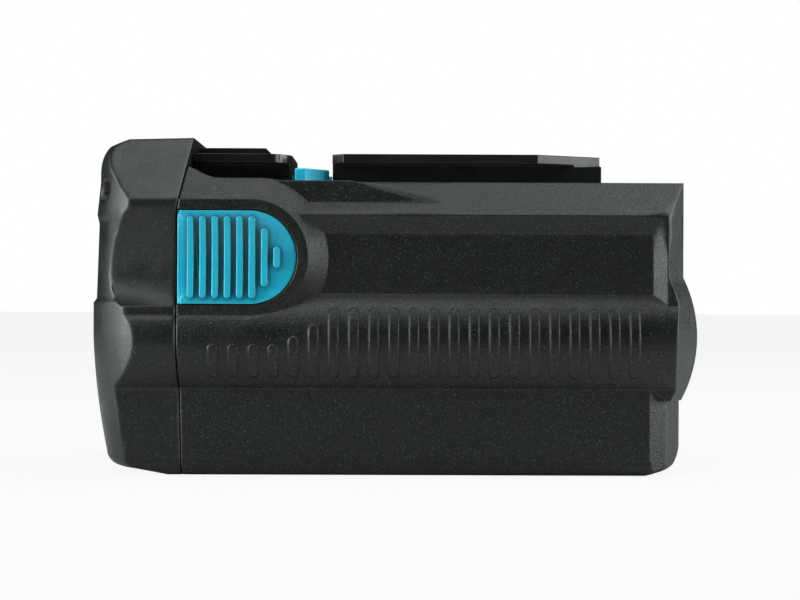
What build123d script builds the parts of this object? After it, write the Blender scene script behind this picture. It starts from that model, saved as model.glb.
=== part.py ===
"""A slide-on battery pack for power tools, with two spring-loaded release buttons.

The pack stands on its flat underside at Z = 0. +X points to the nose, which enters the tool first,
+Z points up through the rails, and the pack is symmetric about Y = 0. The left side is +Y.
"""
import os
from math import atan, degrees, hypot, sqrt

from build123d import *

# Overall sizes, in millimetres; the grip ribs stand proud of body_width
overall_length = 168.6
body_width = 84.0
half_length = overall_length / 2
half_width = body_width / 2
overrun = 4.0

wall = 2.1

# Cells, three staggered rows across the pack
cell_diameter = 18.4
cell_length = 65.0
cell_pitch = 19.2
cell_play = 0.15
cells_centre_x = 3.6
cells_bottom_z = 12.6
long_row = 7
short_row = 6
cell_nub = 5.0
row_rise = cell_pitch * sqrt(3) / 2
cells_middle_z = cells_bottom_z + row_rise
cells_top_z = cells_middle_z + row_rise
cell_end_y = cell_length / 2

# Cell holders
seat_gap = 0.2
holder_depth = 8.0
holder_end_wall = 0.5
holder_window = 12.0
holder_rim = 0.8
holder_bottom = wall + seat_gap
holder_outer_y = cell_end_y + holder_end_wall
holder_inner_y = cell_end_y - holder_depth
pocket_flats = cell_diameter + 2 * cell_play
holder_top = cells_top_z + cell_diameter / 2 + 2 * holder_rim
holder_low_x = cells_centre_x - long_row / 2 * cell_pitch
holder_high_x = cells_centre_x + long_row / 2 * cell_pitch

# Housing section: heights from the underside, drops from the top, insets from the band's widest point
upper_room = 23.94
cap_rise = 12.3
body_height = holder_top + upper_room
overall_height = body_height + cap_rise
floor_half_width = 32.9
rim_height = 4.0
rim_step = 0.3
panel_inset = 5.9
band_crest_height = 36.5
band_radius = 16.7
pocket_inset = 6.4
ridge_drop = 9.5
pocket_slope_height = 5.0
ridge_height = body_height - ridge_drop
pocket_wall_foot = ridge_height - pocket_slope_height
ridge_inset = 3.5
panel_y = half_width - panel_inset
pocket_y = half_width - pocket_inset
ridge_y = half_width - ridge_inset
top_y = ridge_y - ridge_drop
band_centre_y = half_width - band_radius
band_bottom = band_crest_height - sqrt(band_radius**2 - (panel_y - band_centre_y) ** 2)
rim_y = panel_y - rim_step

# Parting between the housing and the end cap
cap_length = 25.7
parting_x = cap_length - half_length
parting_lean_bottom = 1.2
parting_lean_top = 3.4
parting_low_drop = 33.6
parting_high_drop = 9.6
parting_low = body_height - parting_low_drop
parting_high = body_height - parting_high_drop

# Nose: its bulge, its mitred corners and its lower facets
nose_top_inset = 3.9
nose_foot_inset = 4.4
nose_bulge_top = 54.5
nose_bulge_foot = 20.6
nose_toe_height = 8.0
nose_toe_length = 5.4
nose_toe_rise = 0.9
nose_flat_length = 2.8
nose_half_width = 29.0
nose_bevel_share = 0.58
facet_start_x = 70.1
facet_end_x = 75.2
facet_inset = 8.8
nose_wall = 3.4
nose_top_x = half_length - nose_top_inset
nose_foot_x = half_length - nose_foot_inset
facet_y = half_width - facet_inset

# Sunk side panel: its bright ramp at the nose end
pocket_ramp_start = 71.1
pocket_ramp_length = 3.7

# Boss about the release button
button_x = -38.7
button_drop = 21.2
button_z = body_height - button_drop
button_radius = 12.6
button_gap = 0.3
ring_radius = 15.7
ring_inset = 2.0
ring_slope_share = 1.27
ring_y = half_width - ring_inset
hump_inner_y = 26.5
hump_end_rise = 4.0
hump_rise = 0.6
hump_end_height = body_height + hump_end_rise
hump_height = body_height + hump_rise
hump_foot_x = -47.0
hump_fade_x = -36.0
hump_end_x = -29.5

# Widened shoulders beside the latch
shoulder_inset = 7.0
shoulder_start_x = -45.0
shoulder_full_x = -11.5
shoulder_tip_x = 12.0
shoulder_tip = 0.4
shoulder_y = half_width - shoulder_inset
shoulder_foot = ridge_y + ridge_height - shoulder_y

# Grip ribs on the band
rib_count = 22
rib_first_x = -48.4
rib_pitch = 5.42
rib_width = 2.6
rib_height = 0.6
rib_foot = 26.9
rib_top = 45.8
rib_short_tops = (35.9, 35.9, 35.9, 35.9, 38.0, 41.3)

# End cap: its side view up the rear from the underside, then on to the roof in drops from the top
cap_foot_profile = (
    (-66.6, 0.0),
    (-76.4, 1.8),
    (-79.2, 3.0),
    (-80.4, 5.8),
    (-82.8, 20.0),
    (-84.3, 38.0),
)
cap_head_profile = (
    (-84.3, 45.9),
    (-83.4, 44.7),
    (-82.7, 23.9),
    (-83.3, 21.4),
    (-82.3, 11.9),
    (-81.3, 7.4),
    (-78.9, 3.5),
    (-74.7, 0.8),
)
cap_corner_radius = 30.6
cap_corner_start = 16.0
cap_corner_reach = 28.0
cap_corner_shares = (0.0, 0.3, 0.55, 0.8, 1.0)
cap_wall = 2.4
cap_front_cavity_y = 33.7
cap_front_cavity_depth = 5.9
cap_rear_cavity_y = 31.0
cap_cavity_floor = 2.1
cap_cavity_drop = 14.9
cap_cavity_top = overall_height - cap_cavity_drop
cap_hollow_y = 22.0
cap_hollow_front_gap = 2.2
scoop_height = 26.6
scoop_front_depth = 1.2
scoop_rear_depth = 8.6
stop_y = 28.0
stop_thickness = 2.0
stop_height = 44.0
snap_y = 35.6
snap_thickness = 2.0
snap_height = 10.0
snap_length = 8.0

# Cap screws
cap_screw_y = 29.3
cap_screw_drop = 15.3
cap_screw_z = overall_height - cap_screw_drop
cap_screw_bore = 6.2
cap_screw_seat_x = -71.5
cap_screw_head = 5.5
cap_screw_head_height = 2.6
cap_screw_shaft = 3.4
cap_screw_length = 22.0
cap_screw_socket = 2.6
cap_post = 8.4
cap_post_length = 12.6
screw_gap = 0.15

# Rails on top
rail_half_width = 22.0
rail_web_half_width = 16.5
rail_flange_thickness = 2.5
rail_groove = 5.8
rail_flange_z = body_height + rail_groove
rail_top = rail_flange_z + rail_flange_thickness
main_rail_rear_x = -17.1
main_rail_nose_x = 59.0
main_rail_lead_in = 18.5
main_rail_lead_y = 12.5
main_rail_corner = 3.2
rear_rail_nose_x = -28.6
rear_rail_gap = 0.2
rear_rail_corner = 8.5
rear_rib_half_width = 8.0
rear_rib_height = 2.7
rear_rib_nose_x = -35.2
rear_rib_chamfer = 1.4
rail_screw_head = 5.0
rail_screw_head_height = 1.8
rail_screw_shaft = 2.6
rail_screw_length = 7.6
rail_screw_socket = 2.0
rail_screw_y = 10.5
rear_rail_screw_x = -47.0
main_rail_screw_places = (-8.0, 26.0)

# Welded strips, tabs and insulation
strip_width = 6.0
strip_thickness = 0.2
weld_spot = 3.6
strip_y = holder_outer_y + strip_thickness
insulator_thickness = 0.2
insulator_low = 4.2
insulator_drop = 0.6
insulator_high = holder_top - insulator_drop
insulator_margin = 1.0
positive_tab_corner_x = -24.3
positive_tab_band = 4.5
positive_tab_low_z = insulator_high - positive_tab_band
positive_tab_x = -4.5
positive_tab_width = 8.0
negative_tab_x = 65.8
negative_tab_width = 4.0
tab_landing_y = 26.5

# Circuit board and what stands on it
board_drop = 14.6
board_underside = body_height - board_drop
board_thickness = 1.6
board_low_x = -14.0
board_high_x = 70.0
board_half_width = 29.0
board_top = board_underside + board_thickness
post_diameter = 6.5
post_y = 26.0
post_places = (-9.0, 34.0)
board_screw_shaft = 2.5
board_screw_head = 4.6
board_screw_head_height = 1.8
board_screw_length = 8.0
board_screw_socket = 1.8
transistor_count = 3
transistor_pitch = 7.4
transistor_first_x = -3.5
transistor_length = 6.2
transistor_width = 5.4
transistor_height = 2.2
transistor_y = 17.0
chip_places = ((2.0, -6.0), (18.0, -4.0), (10.0, 6.0), (25.0, 6.0))
chip_sizes = ((9.0, 9.0), (6.0, 6.0), (5.0, 4.0), (7.0, 5.0))
chip_height = 1.6
capacitor_diameter = 6.0
capacitor_height = 7.5
capacitor_x = 63.0
capacitor_y = 18.0

# Terminals under the main rail
terminal_low_x = 39.0
terminal_high_x = 55.0
terminal_half_width = 12.5
terminal_gap = 0.3
terminal_top = body_height + 0.8 * rail_groove
slot_pitch = 5.0
slot_width = 2.2
slot_floor_drop = 4.6
slot_floor = body_height - slot_floor_drop
slot_count = 5
rail_slot_floor = body_height + wall / 2
contact_low_x = 41.5
contact_high_x = 53.0
contact_thickness = 0.4
contact_leg_length = 4.0
contact_top_gap = 0.5
leg_gap = 0.15
power_slots = (-2, 2)
signal_slots = (-1, 0, 1)

# Latch sliders
slide_gap = 0.3
slider_thickness = 3.0
slider_inner_y = 30.3
slider_outer_y = slider_inner_y + slider_thickness
frame_floor = 2.0
slider_low_x = -54.0
slider_low_z = holder_top + frame_floor + slide_gap
slider_drop = 8.2
slider_high_z = body_height - slider_drop
button_travel = 3.4
arm_low_x = -27.5
arm_high_x = -18.2
arm_root_height = 4.4
arm_thickness = 3.6
arm_gap = 0.9
arm_root_z = slider_high_z - arm_root_height
arm_top = body_height - wall - arm_gap
arm_under = arm_top - arm_thickness
arm_shoulder_y = slider_outer_y + slider_high_z - arm_top
hook_inner_y = 12.0
hook_ramp_y = 14.0
hook_ramp_x = -24.6
hook_rise = 4.3
hook_top = body_height + hook_rise
hook_slot_gap = 0.5

# Release buttons
button_rear_gap = 0.35
button_proud = 0.4
button_thickness = 3.2
button_dish = 1.3
button_bevel = 1.1
button_rib_first_x = -55.6
button_rib_pitch = 3.32
button_rib_width = 1.7
button_rib_half_lengths = (11.0, 11.0, 11.0, 11.0, 11.0, 11.0, 7.8, 2.8)
button_rib_rise = 1.5
neck_low_x = -50.0
neck_high_x = -32.0
neck_low_rise = 0.6
neck_high_rise = 10.6
neck_low_z = button_z + neck_low_rise
neck_high_z = button_z + neck_high_rise
button_face_y = ring_y + button_proud
button_back_y = button_face_y - button_thickness
dish_radius = (button_radius**2 + button_dish**2) / (2 * button_dish)

# Latch frame and springs
frame_low_x = -60.0
frame_high_x = -15.5
frame_half_width = 30.5
tower_low_x = -50.0
tower_high_x = -33.0
tower_y = 14.0
tower_wall = 2.2
tower_drop = 7.6
tower_top = body_height - tower_drop
spring_x = -42.0
spring_rise = 6.6
spring_z = button_z + spring_rise
spring_radius = 3.2
spring_wire = 0.8
spring_turns = 5
spigot_diameter = 4.4
spigot_length = 3.0
frame_screw_y = 27.0
frame_screw_count = 2
frame_screw_head = 4.4
frame_screw_head_height = 1.2
frame_screw_shaft = 2.4
frame_screw_length = 5.0
frame_screw_socket = 1.6

# Nose pad and temperature sensor
pad_half_width = 22.0
pad_low = 10.0
pad_high = 46.0
pad_gap = 0.1
sensor_radius = 2.0
sensor_length = 8.0
lead_width = 2.4
lead_thickness = 0.8


def section(panel, ridge_side):
    """The housing's cross section, with the side panel sunk to panel, closed and mirrored."""
    with BuildSketch(Plane.YZ) as outline:
        with BuildLine():
            high = band_crest_height + sqrt(band_radius**2 - (panel - band_centre_y) ** 2)
            rounding = rim_y - floor_half_width
            Line((0, 0), (floor_half_width, 0))
            RadiusArc((floor_half_width, 0), (rim_y, rounding), -rounding)
            Polyline((rim_y, rounding), (rim_y, rim_height), (panel_y, rim_height), (panel_y, band_bottom))
            ThreePointArc((panel_y, band_bottom), (half_width, band_crest_height), (panel, high))
            Polyline((panel, high), (panel, pocket_wall_foot), (ridge_side, ridge_height))
            Polyline((ridge_side, ridge_height), (top_y, body_height), (0, body_height))
            mirror(about=Plane.YZ)
        make_face()
    return outline.sketch


def cap_section():
    """The end cap's cross section: the band, a flat side wall and the sloped roof."""
    with BuildSketch(Plane.YZ) as outline:
        with BuildLine():
            high = band_crest_height + sqrt(band_radius**2 - (ring_y - band_centre_y) ** 2)
            rounding = rim_y - floor_half_width
            eaves = button_z + ring_radius
            roof_y = ring_y - (overall_height - eaves) / ring_slope_share
            Line((0, 0), (floor_half_width, 0))
            RadiusArc((floor_half_width, 0), (rim_y, rounding), -rounding)
            Polyline((rim_y, rounding), (rim_y, rim_height), (panel_y, rim_height), (panel_y, band_bottom))
            ThreePointArc((panel_y, band_bottom), (half_width, band_crest_height), (ring_y, high))
            Polyline((ring_y, high), (ring_y, eaves), (roof_y, overall_height), (0, overall_height))
            mirror(about=Plane.YZ)
        make_face()
    return outline.sketch


def parting_side(clearance, towards_nose):
    """Everything on one side of the parting, as a block across the whole pack."""
    far_x = half_length + overrun
    if not towards_nose:
        far_x = -far_x
    mid_x = parting_x + clearance
    with BuildPart() as block:
        with BuildSketch(Plane.XZ):
            with BuildLine():
                Polyline(
                    (far_x, -overrun),
                    (mid_x + parting_lean_bottom, -overrun),
                    (mid_x + parting_lean_bottom, 0),
                    (mid_x, parting_low),
                    (mid_x, parting_high),
                    (mid_x + parting_lean_top, overall_height),
                    (mid_x + parting_lean_top, overall_height + overrun),
                    (far_x, overall_height + overrun),
                    close=True,
                )
            make_face()
        extrude(amount=half_width + overrun, both=True)
    return block.part


def nose_side(plane, shrink):
    """The side view of everything behind the nose's outline, on one plane, moved back by shrink."""
    far_x = -half_length - overrun
    toe_x = nose_foot_x - nose_toe_length - shrink
    with BuildSketch(plane) as side:
        with BuildLine():
            Polyline(
                (toe_x, nose_toe_rise),
                (toe_x - nose_flat_length, 0),
                (toe_x - nose_flat_length, -overrun),
                (far_x, -overrun),
                (far_x, body_height + overrun),
                (nose_top_x - shrink, body_height + overrun),
                (nose_top_x - shrink, nose_bulge_top),
            )
            ThreePointArc(
                (nose_top_x - shrink, nose_bulge_top),
                (half_length - shrink, (nose_bulge_top + nose_bulge_foot) / 2),
                (nose_foot_x - shrink, nose_bulge_foot),
            )
            Line((nose_foot_x - shrink, nose_bulge_foot), (nose_foot_x - shrink, nose_toe_height))
            RadiusArc((nose_foot_x - shrink, nose_toe_height), (toe_x, nose_toe_rise), nose_toe_height)
        make_face()
    return side.sketch


def nose_form(shrink):
    """The space behind the nose, its bulge, its mitred corners and its facets, moved back by shrink."""
    reach = half_width + overrun - nose_half_width
    slant = hypot(1, nose_bevel_share) * reach
    near = nose_side(Plane.XZ.offset(nose_half_width), shrink)
    far = nose_side(Plane.XZ.offset(-nose_half_width), shrink)
    with BuildPart() as form:
        extrude(nose_side(Plane.XZ, shrink), amount=nose_half_width, both=True)
        extrude(near, amount=slant, dir=(-nose_bevel_share, -1, 0))
        extrude(far, amount=slant, dir=(-nose_bevel_share, 1, 0))
    fall = (panel_y - facet_y) / (facet_end_x - facet_start_x)
    inward = shrink * hypot(1, fall) * wall / nose_wall
    corner_y = facet_y - inward
    far_x = half_length + overrun
    with BuildPart() as facet:
        with BuildSketch(Plane.XY.offset(-overrun)):
            Polygon(
                (facet_start_x - overrun, panel_y + overrun * fall - inward),
                (facet_end_x, corner_y),
                (far_x, corner_y - (far_x - facet_end_x) / nose_bevel_share),
                (far_x, half_width + overrun),
                (facet_start_x - overrun, half_width + overrun),
                align=None,
            )
        extrude(amount=band_bottom + overrun)
        with BuildSketch(Plane.XZ):
            Polygon(
                (facet_start_x - overrun, -overrun),
                (far_x, -overrun),
                (far_x, nose_bulge_foot),
                (facet_end_x, nose_bulge_foot),
                (facet_start_x, band_bottom),
                (facet_start_x - overrun, band_bottom),
                align=None,
            )
        extrude(amount=half_width + overrun, both=True, mode=Mode.INTERSECT)
        mirror(about=Plane.XZ)
    with BuildPart() as cut_form:
        add(form.part)
        add(facet.part, mode=Mode.SUBTRACT)
    return cut_form.part


def cap_side(plane, shift):
    """The end cap's side view on one plane, with its rear moved towards the nose by shift."""
    corners = [(place_x + shift, place_z) for place_x, place_z in cap_foot_profile]
    corners += [(place_x + shift, overall_height - drop) for place_x, drop in cap_head_profile]
    front_x = parting_x + cap_length
    roof_x = parting_x + parting_lean_top
    with BuildSketch(plane) as side:
        with BuildLine():
            Polyline((front_x, 0), corners[0], corners[1])
            ThreePointArc(corners[1], corners[2], corners[3])
            ThreePointArc(corners[3], corners[4], corners[5])
            Polyline(*corners[5:11])
            ThreePointArc(corners[10], corners[11], corners[12])
            Polyline(corners[12], corners[13], (roof_x + shift, overall_height), (front_x, overall_height))
            Line((front_x, overall_height), (front_x, 0))
        make_face()
    return side.sketch


def cap_form(shrink):
    """The space inside the cap's rounded rear corners, with the rear moved in by shrink."""
    sections = []
    for share in cap_corner_shares:
        reach = share * cap_corner_reach
        shift = cap_corner_radius - sqrt(cap_corner_radius**2 - reach**2)
        sections.append(cap_side(Plane.XZ.offset(cap_corner_start + reach), shrink + shift))
    with BuildPart() as form:
        extrude(cap_side(Plane.XZ, shrink), amount=cap_corner_start, both=True)
        loft(sections)
        mirror(about=Plane.XZ)
    return form.part


def scoop_segment(place_x, depth):
    """A shallow circular segment let into the cap's left wall, on the plane X = place_x."""
    low = button_z - scoop_height / 2
    high = button_z + scoop_height / 2
    with BuildSketch(Plane.YZ.offset(place_x)) as segment:
        with BuildLine():
            Polyline((ring_y, low), (ring_y + overrun, low), (ring_y + overrun, high), (ring_y, high))
            ThreePointArc((ring_y, high), (ring_y - depth, button_z), (ring_y, low))
        make_face()
    return segment.sketch


def button_outline(plane, radius, rear_x):
    """A half round facing the nose, with straight sides back to rear_x, on one plane."""
    with BuildSketch(plane) as outline:
        with BuildLine():
            Polyline(
                (button_x, button_z + radius),
                (rear_x, button_z + radius),
                (rear_x, button_z - radius),
                (button_x, button_z - radius),
            )
            ThreePointArc(
                (button_x, button_z - radius), (button_x + radius, button_z), (button_x, button_z + radius)
            )
        make_face()
    return outline.sketch


def screw(head, head_height, shaft, length, socket):
    """A screw pointing down, with the underside of its head at Z = 0."""
    with BuildPart() as fastener:
        with BuildSketch():
            Circle(head / 2)
        extrude(amount=head_height)
        with BuildSketch():
            Circle(shaft / 2)
        extrude(amount=-length)
        with BuildSketch(Plane.XY.offset(head_height)):
            RegularPolygon(socket / 2, 6)
        extrude(amount=-head_height / 2, mode=Mode.SUBTRACT)
    return fastener.part


def row_centres(count):
    """The X places of a row of cells."""
    return [cells_centre_x + (place - (count - 1) / 2) * cell_pitch for place in range(count)]


def holder(side_is_left):
    """A honeycomb holder for one end of all the cells, with posts for the board."""
    with BuildPart() as block:
        with BuildSketch(Plane.XZ.offset(-holder_outer_y)):
            with Locations(((holder_low_x + holder_high_x) / 2, (holder_bottom + holder_top) / 2)):
                Rectangle(holder_high_x - holder_low_x, holder_top - holder_bottom)
        extrude(amount=holder_outer_y - holder_inner_y)
        with BuildSketch(Plane.XZ.offset(-holder_inner_y)):
            with Locations(*cell_path):
                RegularPolygon(pocket_flats / 2, 6, major_radius=False, rotation=30)
            with Locations(((holder_low_x + holder_high_x) / 2, (holder_bottom + holder_top) / 2)):
                Rectangle(
                    holder_high_x - holder_low_x, holder_top - holder_bottom - 2 * holder_rim, mode=Mode.INTERSECT
                )
        extrude(amount=-holder_depth, mode=Mode.SUBTRACT)
        with BuildSketch(Plane.XZ.offset(-cell_end_y)):
            with Locations(*cell_path):
                RegularPolygon(holder_window / 2, 6, rotation=30)
        extrude(amount=-holder_end_wall, mode=Mode.SUBTRACT)
        with BuildSketch(Plane.XY.offset(holder_top)):
            with Locations(*[(place_x, post_y) for place_x in post_places]):
                Circle(post_diameter / 2)
        extrude(amount=board_underside - holder_top)
        with BuildSketch(Plane.XY.offset(board_underside)):
            with Locations(*[(place_x, post_y) for place_x in post_places]):
                Circle(board_screw_shaft / 2 + screw_gap)
        extrude(amount=-board_screw_length, mode=Mode.SUBTRACT)
        with BuildSketch(Plane.XY.offset(holder_top)):
            with Locations(*[(place_x, frame_screw_y) for place_x in frame_screw_places]):
                Circle(frame_screw_shaft / 2 + screw_gap)
        extrude(amount=-frame_screw_length, mode=Mode.SUBTRACT)
        add(nose_form(nose_wall + seat_gap), mode=Mode.INTERSECT)
    if side_is_left:
        return block.part
    return block.part.mirror(Plane.XZ)


def busbars(chains, positives_are_even):
    """The strips on the left of the pack that join each chain of cells, with a weld spot on each
    cell whose flat end faces that side."""
    with BuildPart() as strips:
        with BuildSketch(Plane.XZ.offset(-holder_outer_y)):
            for first, last in chains:
                for start, end in zip(cell_path[first : last - 1], cell_path[first + 1 : last]):
                    middle = ((start[0] + end[0]) / 2, (start[1] + end[1]) / 2)
                    turn = degrees(atan((end[1] - start[1]) / (end[0] - start[0])))
                    with Locations(middle):
                        Rectangle(cell_pitch + strip_width, strip_width, rotation=turn)
        extrude(amount=-strip_thickness)
        with BuildSketch(Plane.XZ.offset(-cell_end_y)):
            for index, centre in enumerate(cell_path):
                if (index // 2 % 2 == 0) != positives_are_even:
                    with Locations(centre):
                        Circle(weld_spot / 2)
        extrude(amount=-holder_end_wall)
    return strips.part


def contacts(slots):
    """Forked spring contacts, one in each of the terminal block's slots named by number."""
    leg_x = (contact_low_x + contact_high_x) / 2
    contact_length = contact_high_x - contact_low_x
    leaf_height = terminal_top - contact_top_gap - slot_floor
    leaf_y = (slot_width - contact_thickness) / 2
    with BuildPart() as forks:
        with Locations(*[(leg_x, slot * slot_pitch, slot_floor) for slot in slots]):
            Box(contact_length, slot_width, contact_thickness, align=(Align.CENTER, Align.CENTER, Align.MIN))
        for side in (-1, 1):
            with Locations(*[(leg_x, slot * slot_pitch + side * leaf_y, slot_floor) for slot in slots]):
                Box(contact_length, contact_thickness, leaf_height, align=(Align.CENTER, Align.CENTER, Align.MIN))
        with Locations(*[(leg_x, slot * slot_pitch, board_top) for slot in slots]):
            Box(
                contact_leg_length,
                contact_thickness,
                slot_floor - board_top,
                align=(Align.CENTER, Align.CENTER, Align.MIN),
            )
    return forks.part


# Places shared by several pieces: the cells in series order, and the screws
top_row = [(place_x, cells_top_z) for place_x in row_centres(long_row)]
middle_row = [(place_x, cells_middle_z) for place_x in row_centres(short_row)]
bottom_row = [(place_x, cells_bottom_z) for place_x in row_centres(long_row)]
cell_path = top_row + middle_row[::-1] + bottom_row
left_chains = ((0, 2), (2, 6), (6, 10), (10, 14), (14, 18), (18, 20))
right_chains = ((0, 4), (4, 8), (8, 12), (12, 16), (16, 20))
frame_screw_places = row_centres(short_row)[:frame_screw_count]
rail_screw_places = [
    (place_x, side * rail_screw_y)
    for place_x in (rear_rail_screw_x,) + main_rail_screw_places
    for side in (-1, 1)
]
cap_screw_places = ((cap_screw_y, cap_screw_z), (-cap_screw_y, cap_screw_z))

os.makedirs("parts", exist_ok=True)

# The button's boss: a half round frustum whose face carries the button
boss_depth = ring_y - hump_inner_y
boss_end_x = button_x + ring_radius + ring_slope_share * boss_depth
with BuildPart() as boss:
    face = button_outline(Plane.XZ.offset(ring_y), ring_radius, parting_x - cap_length)
    extrude(face, amount=-boss_depth, taper=-degrees(atan(ring_slope_share)))
    with BuildSketch(Plane.XZ):
        with BuildLine():
            Polyline(
                (parting_x - overrun, hump_end_height),
                (parting_x - overrun, band_crest_height),
                (boss_end_x, band_crest_height),
                (boss_end_x, body_height),
                (hump_end_x, body_height),
                (hump_fade_x, hump_height),
                (hump_foot_x, hump_height),
            )
            Spline(
                (hump_foot_x, hump_height),
                (parting_x + parting_lean_top / 2, hump_end_height),
                tangents=((-1, 0), (-1, 0.2)),
            )
            Line((parting_x + parting_lean_top / 2, hump_end_height), (parting_x - overrun, hump_end_height))
        make_face()
    extrude(amount=half_width + overrun, mode=Mode.INTERSECT)
    mirror(about=Plane.XZ)

# The recess in the band in front of the boss, which runs back across the end cap
with BuildPart() as ring_recess:
    recess_face = button_outline(Plane.XZ.offset(ring_y), ring_radius, -half_length - overrun)
    extrude(recess_face, amount=overrun, taper=-degrees(atan(ring_slope_share)))
    mirror(about=Plane.XZ)

# Widened shoulders: full beside the latch, then tapering away to a point towards the nose
with BuildPart() as shoulders:
    shoulder_corners = [(shoulder_y, shoulder_foot), (shoulder_y, body_height), (top_y, body_height)]
    with BuildSketch(Plane.YZ.offset(shoulder_start_x)):
        Polygon(*shoulder_corners, align=None)
    extrude(amount=shoulder_full_x - shoulder_start_x)
    with BuildSketch(Plane.YZ.offset(shoulder_full_x)) as full_end:
        Polygon(*shoulder_corners, align=None)
    with BuildSketch(Plane.YZ.offset(shoulder_tip_x)) as tip_end:
        Polygon(
            (shoulder_y, shoulder_foot),
            (shoulder_y, shoulder_foot + shoulder_tip),
            (shoulder_y - shoulder_tip, shoulder_foot + shoulder_tip),
            align=None,
        )
    loft([full_end.sketch, tip_end.sketch])
    mirror(about=Plane.XZ)

# Solid block at the nose end of each sunk panel, with the ramp that faces the cap
with BuildPart() as panel_ends:
    with BuildSketch(Plane.XY.offset(band_crest_height)):
        Polygon(
            (pocket_ramp_start, pocket_y),
            (pocket_ramp_start + pocket_ramp_length, ridge_y),
            (half_length, ridge_y),
            (half_length, top_y),
            (pocket_ramp_start, top_y),
            align=None,
        )
    extrude(amount=ridge_height - band_crest_height)
    mirror(about=Plane.XZ)

# Grip ribs: upright rounded bars that stand a little proud of the band
with BuildPart() as grip_ribs:
    with BuildSketch(Plane.XZ.offset(band_centre_y)):
        for index in range(rib_count):
            high = rib_short_tops[index] if index < len(rib_short_tops) else rib_top
            with Locations((rib_first_x + index * rib_pitch, (rib_foot + high) / 2)):
                SlotOverall(high - rib_foot, rib_width, rotation=90)
    extrude(amount=half_width)
    with BuildSketch(Plane.YZ.offset(rib_first_x - overrun)):
        with Locations((-band_centre_y, band_crest_height)):
            Circle(band_radius + rib_height)
    extrude(amount=rib_count * rib_pitch + 2 * overrun, mode=Mode.INTERSECT)
    mirror(about=Plane.XZ)

# The housing's inside
with BuildPart() as housing_cavity:
    inner_section = offset(section(pocket_y, ridge_y), amount=-wall, kind=Kind.INTERSECTION)
    extrude(inner_section, amount=half_length + overrun, both=True)
    add(nose_form(nose_wall), mode=Mode.INTERSECT)

# Housing shell
with BuildPart() as housing_shell:
    extrude(section(pocket_y, ridge_y), amount=half_length + overrun, both=True)
    add(panel_ends.part)
    add(nose_form(0), mode=Mode.INTERSECT)
    add(shoulders.part)
    add(boss.part)
    add(ring_recess.part, mode=Mode.SUBTRACT)
    add(grip_ribs.part)
    add(housing_cavity.part, mode=Mode.SUBTRACT)
    with BuildSketch(Plane.YZ.offset(parting_x)):
        with Locations(*cap_screw_places):
            Circle(cap_post / 2)
        with Locations((0, body_height)):
            Rectangle(body_width, cap_post, align=(Align.CENTER, Align.MIN), mode=Mode.SUBTRACT)
    extrude(amount=cap_post_length)
    add(parting_side(0, False), mode=Mode.SUBTRACT)
    with BuildSketch(Plane.YZ.offset(parting_x)):
        with Locations(*cap_screw_places):
            Circle(cap_screw_shaft / 2 + screw_gap)
    extrude(amount=cap_post_length - wall, mode=Mode.SUBTRACT)
    opening_plane = Plane.XZ.offset(half_width + overrun)
    opening = button_outline(opening_plane, button_radius + button_gap, parting_x - overrun)
    extrude(opening, amount=-body_width - 2 * overrun, mode=Mode.SUBTRACT)
    with BuildSketch(Plane.XY.offset(body_height)):
        slot_high_y = rail_half_width + hook_slot_gap
        slot_low_y = hook_inner_y - button_travel - hook_slot_gap
        slot_places = [((arm_low_x + arm_high_x) / 2, side * (slot_low_y + slot_high_y) / 2) for side in (-1, 1)]
        with Locations(*slot_places):
            Rectangle(arm_high_x - arm_low_x + 2 * hook_slot_gap, slot_high_y - slot_low_y)
        with Locations(((terminal_low_x + terminal_high_x) / 2, 0)):
            window_length = terminal_high_x - terminal_low_x + 2 * terminal_gap
            Rectangle(window_length, 2 * terminal_half_width + 2 * terminal_gap)
        with Locations(*rail_screw_places):
            Circle(rail_screw_shaft / 2 + screw_gap)
    extrude(amount=-2 * wall, mode=Mode.SUBTRACT)
housing_shell.part.label = "housing_shell"
export_step(housing_shell.part, "parts/housing_shell.step")

# Finger scoops in the end cap's side walls
with BuildPart() as scoops:
    front_segment = scoop_segment(parting_x + parting_lean_top, scoop_front_depth)
    rear_segment = scoop_segment(-half_length - overrun, scoop_rear_depth)
    loft([front_segment, rear_segment])
    mirror(about=Plane.XZ)

# The end cap's inside: wide at the front, narrower behind the cells, and hollow up into the roof
with BuildPart() as cap_cavity:
    front_x = parting_x + parting_lean_top + overrun
    cavity_height = cap_cavity_top - cap_cavity_floor
    with Locations((parting_x - cap_front_cavity_depth, 0, cap_cavity_floor)):
        Box(
            cap_length,
            2 * cap_front_cavity_y,
            cavity_height,
            align=(Align.MIN, Align.CENTER, Align.MIN),
        )
    with Locations((front_x, 0, cap_cavity_floor)):
        Box(
            front_x + half_length,
            2 * cap_rear_cavity_y,
            cavity_height,
            align=(Align.MAX, Align.CENTER, Align.MIN),
        )
    with Locations((parting_x - cap_hollow_front_gap, 0, cap_cavity_floor)):
        Box(
            cap_length,
            2 * cap_hollow_y,
            overall_height - cap_wall - cap_cavity_floor,
            align=(Align.MAX, Align.CENTER, Align.MIN),
        )
    add(cap_form(cap_wall), mode=Mode.INTERSECT)

# What stands inside the end cap: the screw posts, and the stops behind the cell holders
with BuildPart() as cap_inner:
    with BuildSketch(Plane.YZ.offset(parting_x + parting_lean_top)):
        with Locations(*cap_screw_places):
            Circle(cap_post / 2)
    extrude(amount=-cap_length)
    with BuildSketch(Plane.YZ.offset(holder_low_x - seat_gap)):
        with Locations((stop_y, cells_middle_z), (-stop_y, cells_middle_z)):
            Rectangle(stop_thickness, stop_height)
    extrude(amount=-cap_length)
    extrude(cap_section(), amount=-half_length - overrun, mode=Mode.INTERSECT)
    add(cap_form(0), mode=Mode.INTERSECT)

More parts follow.
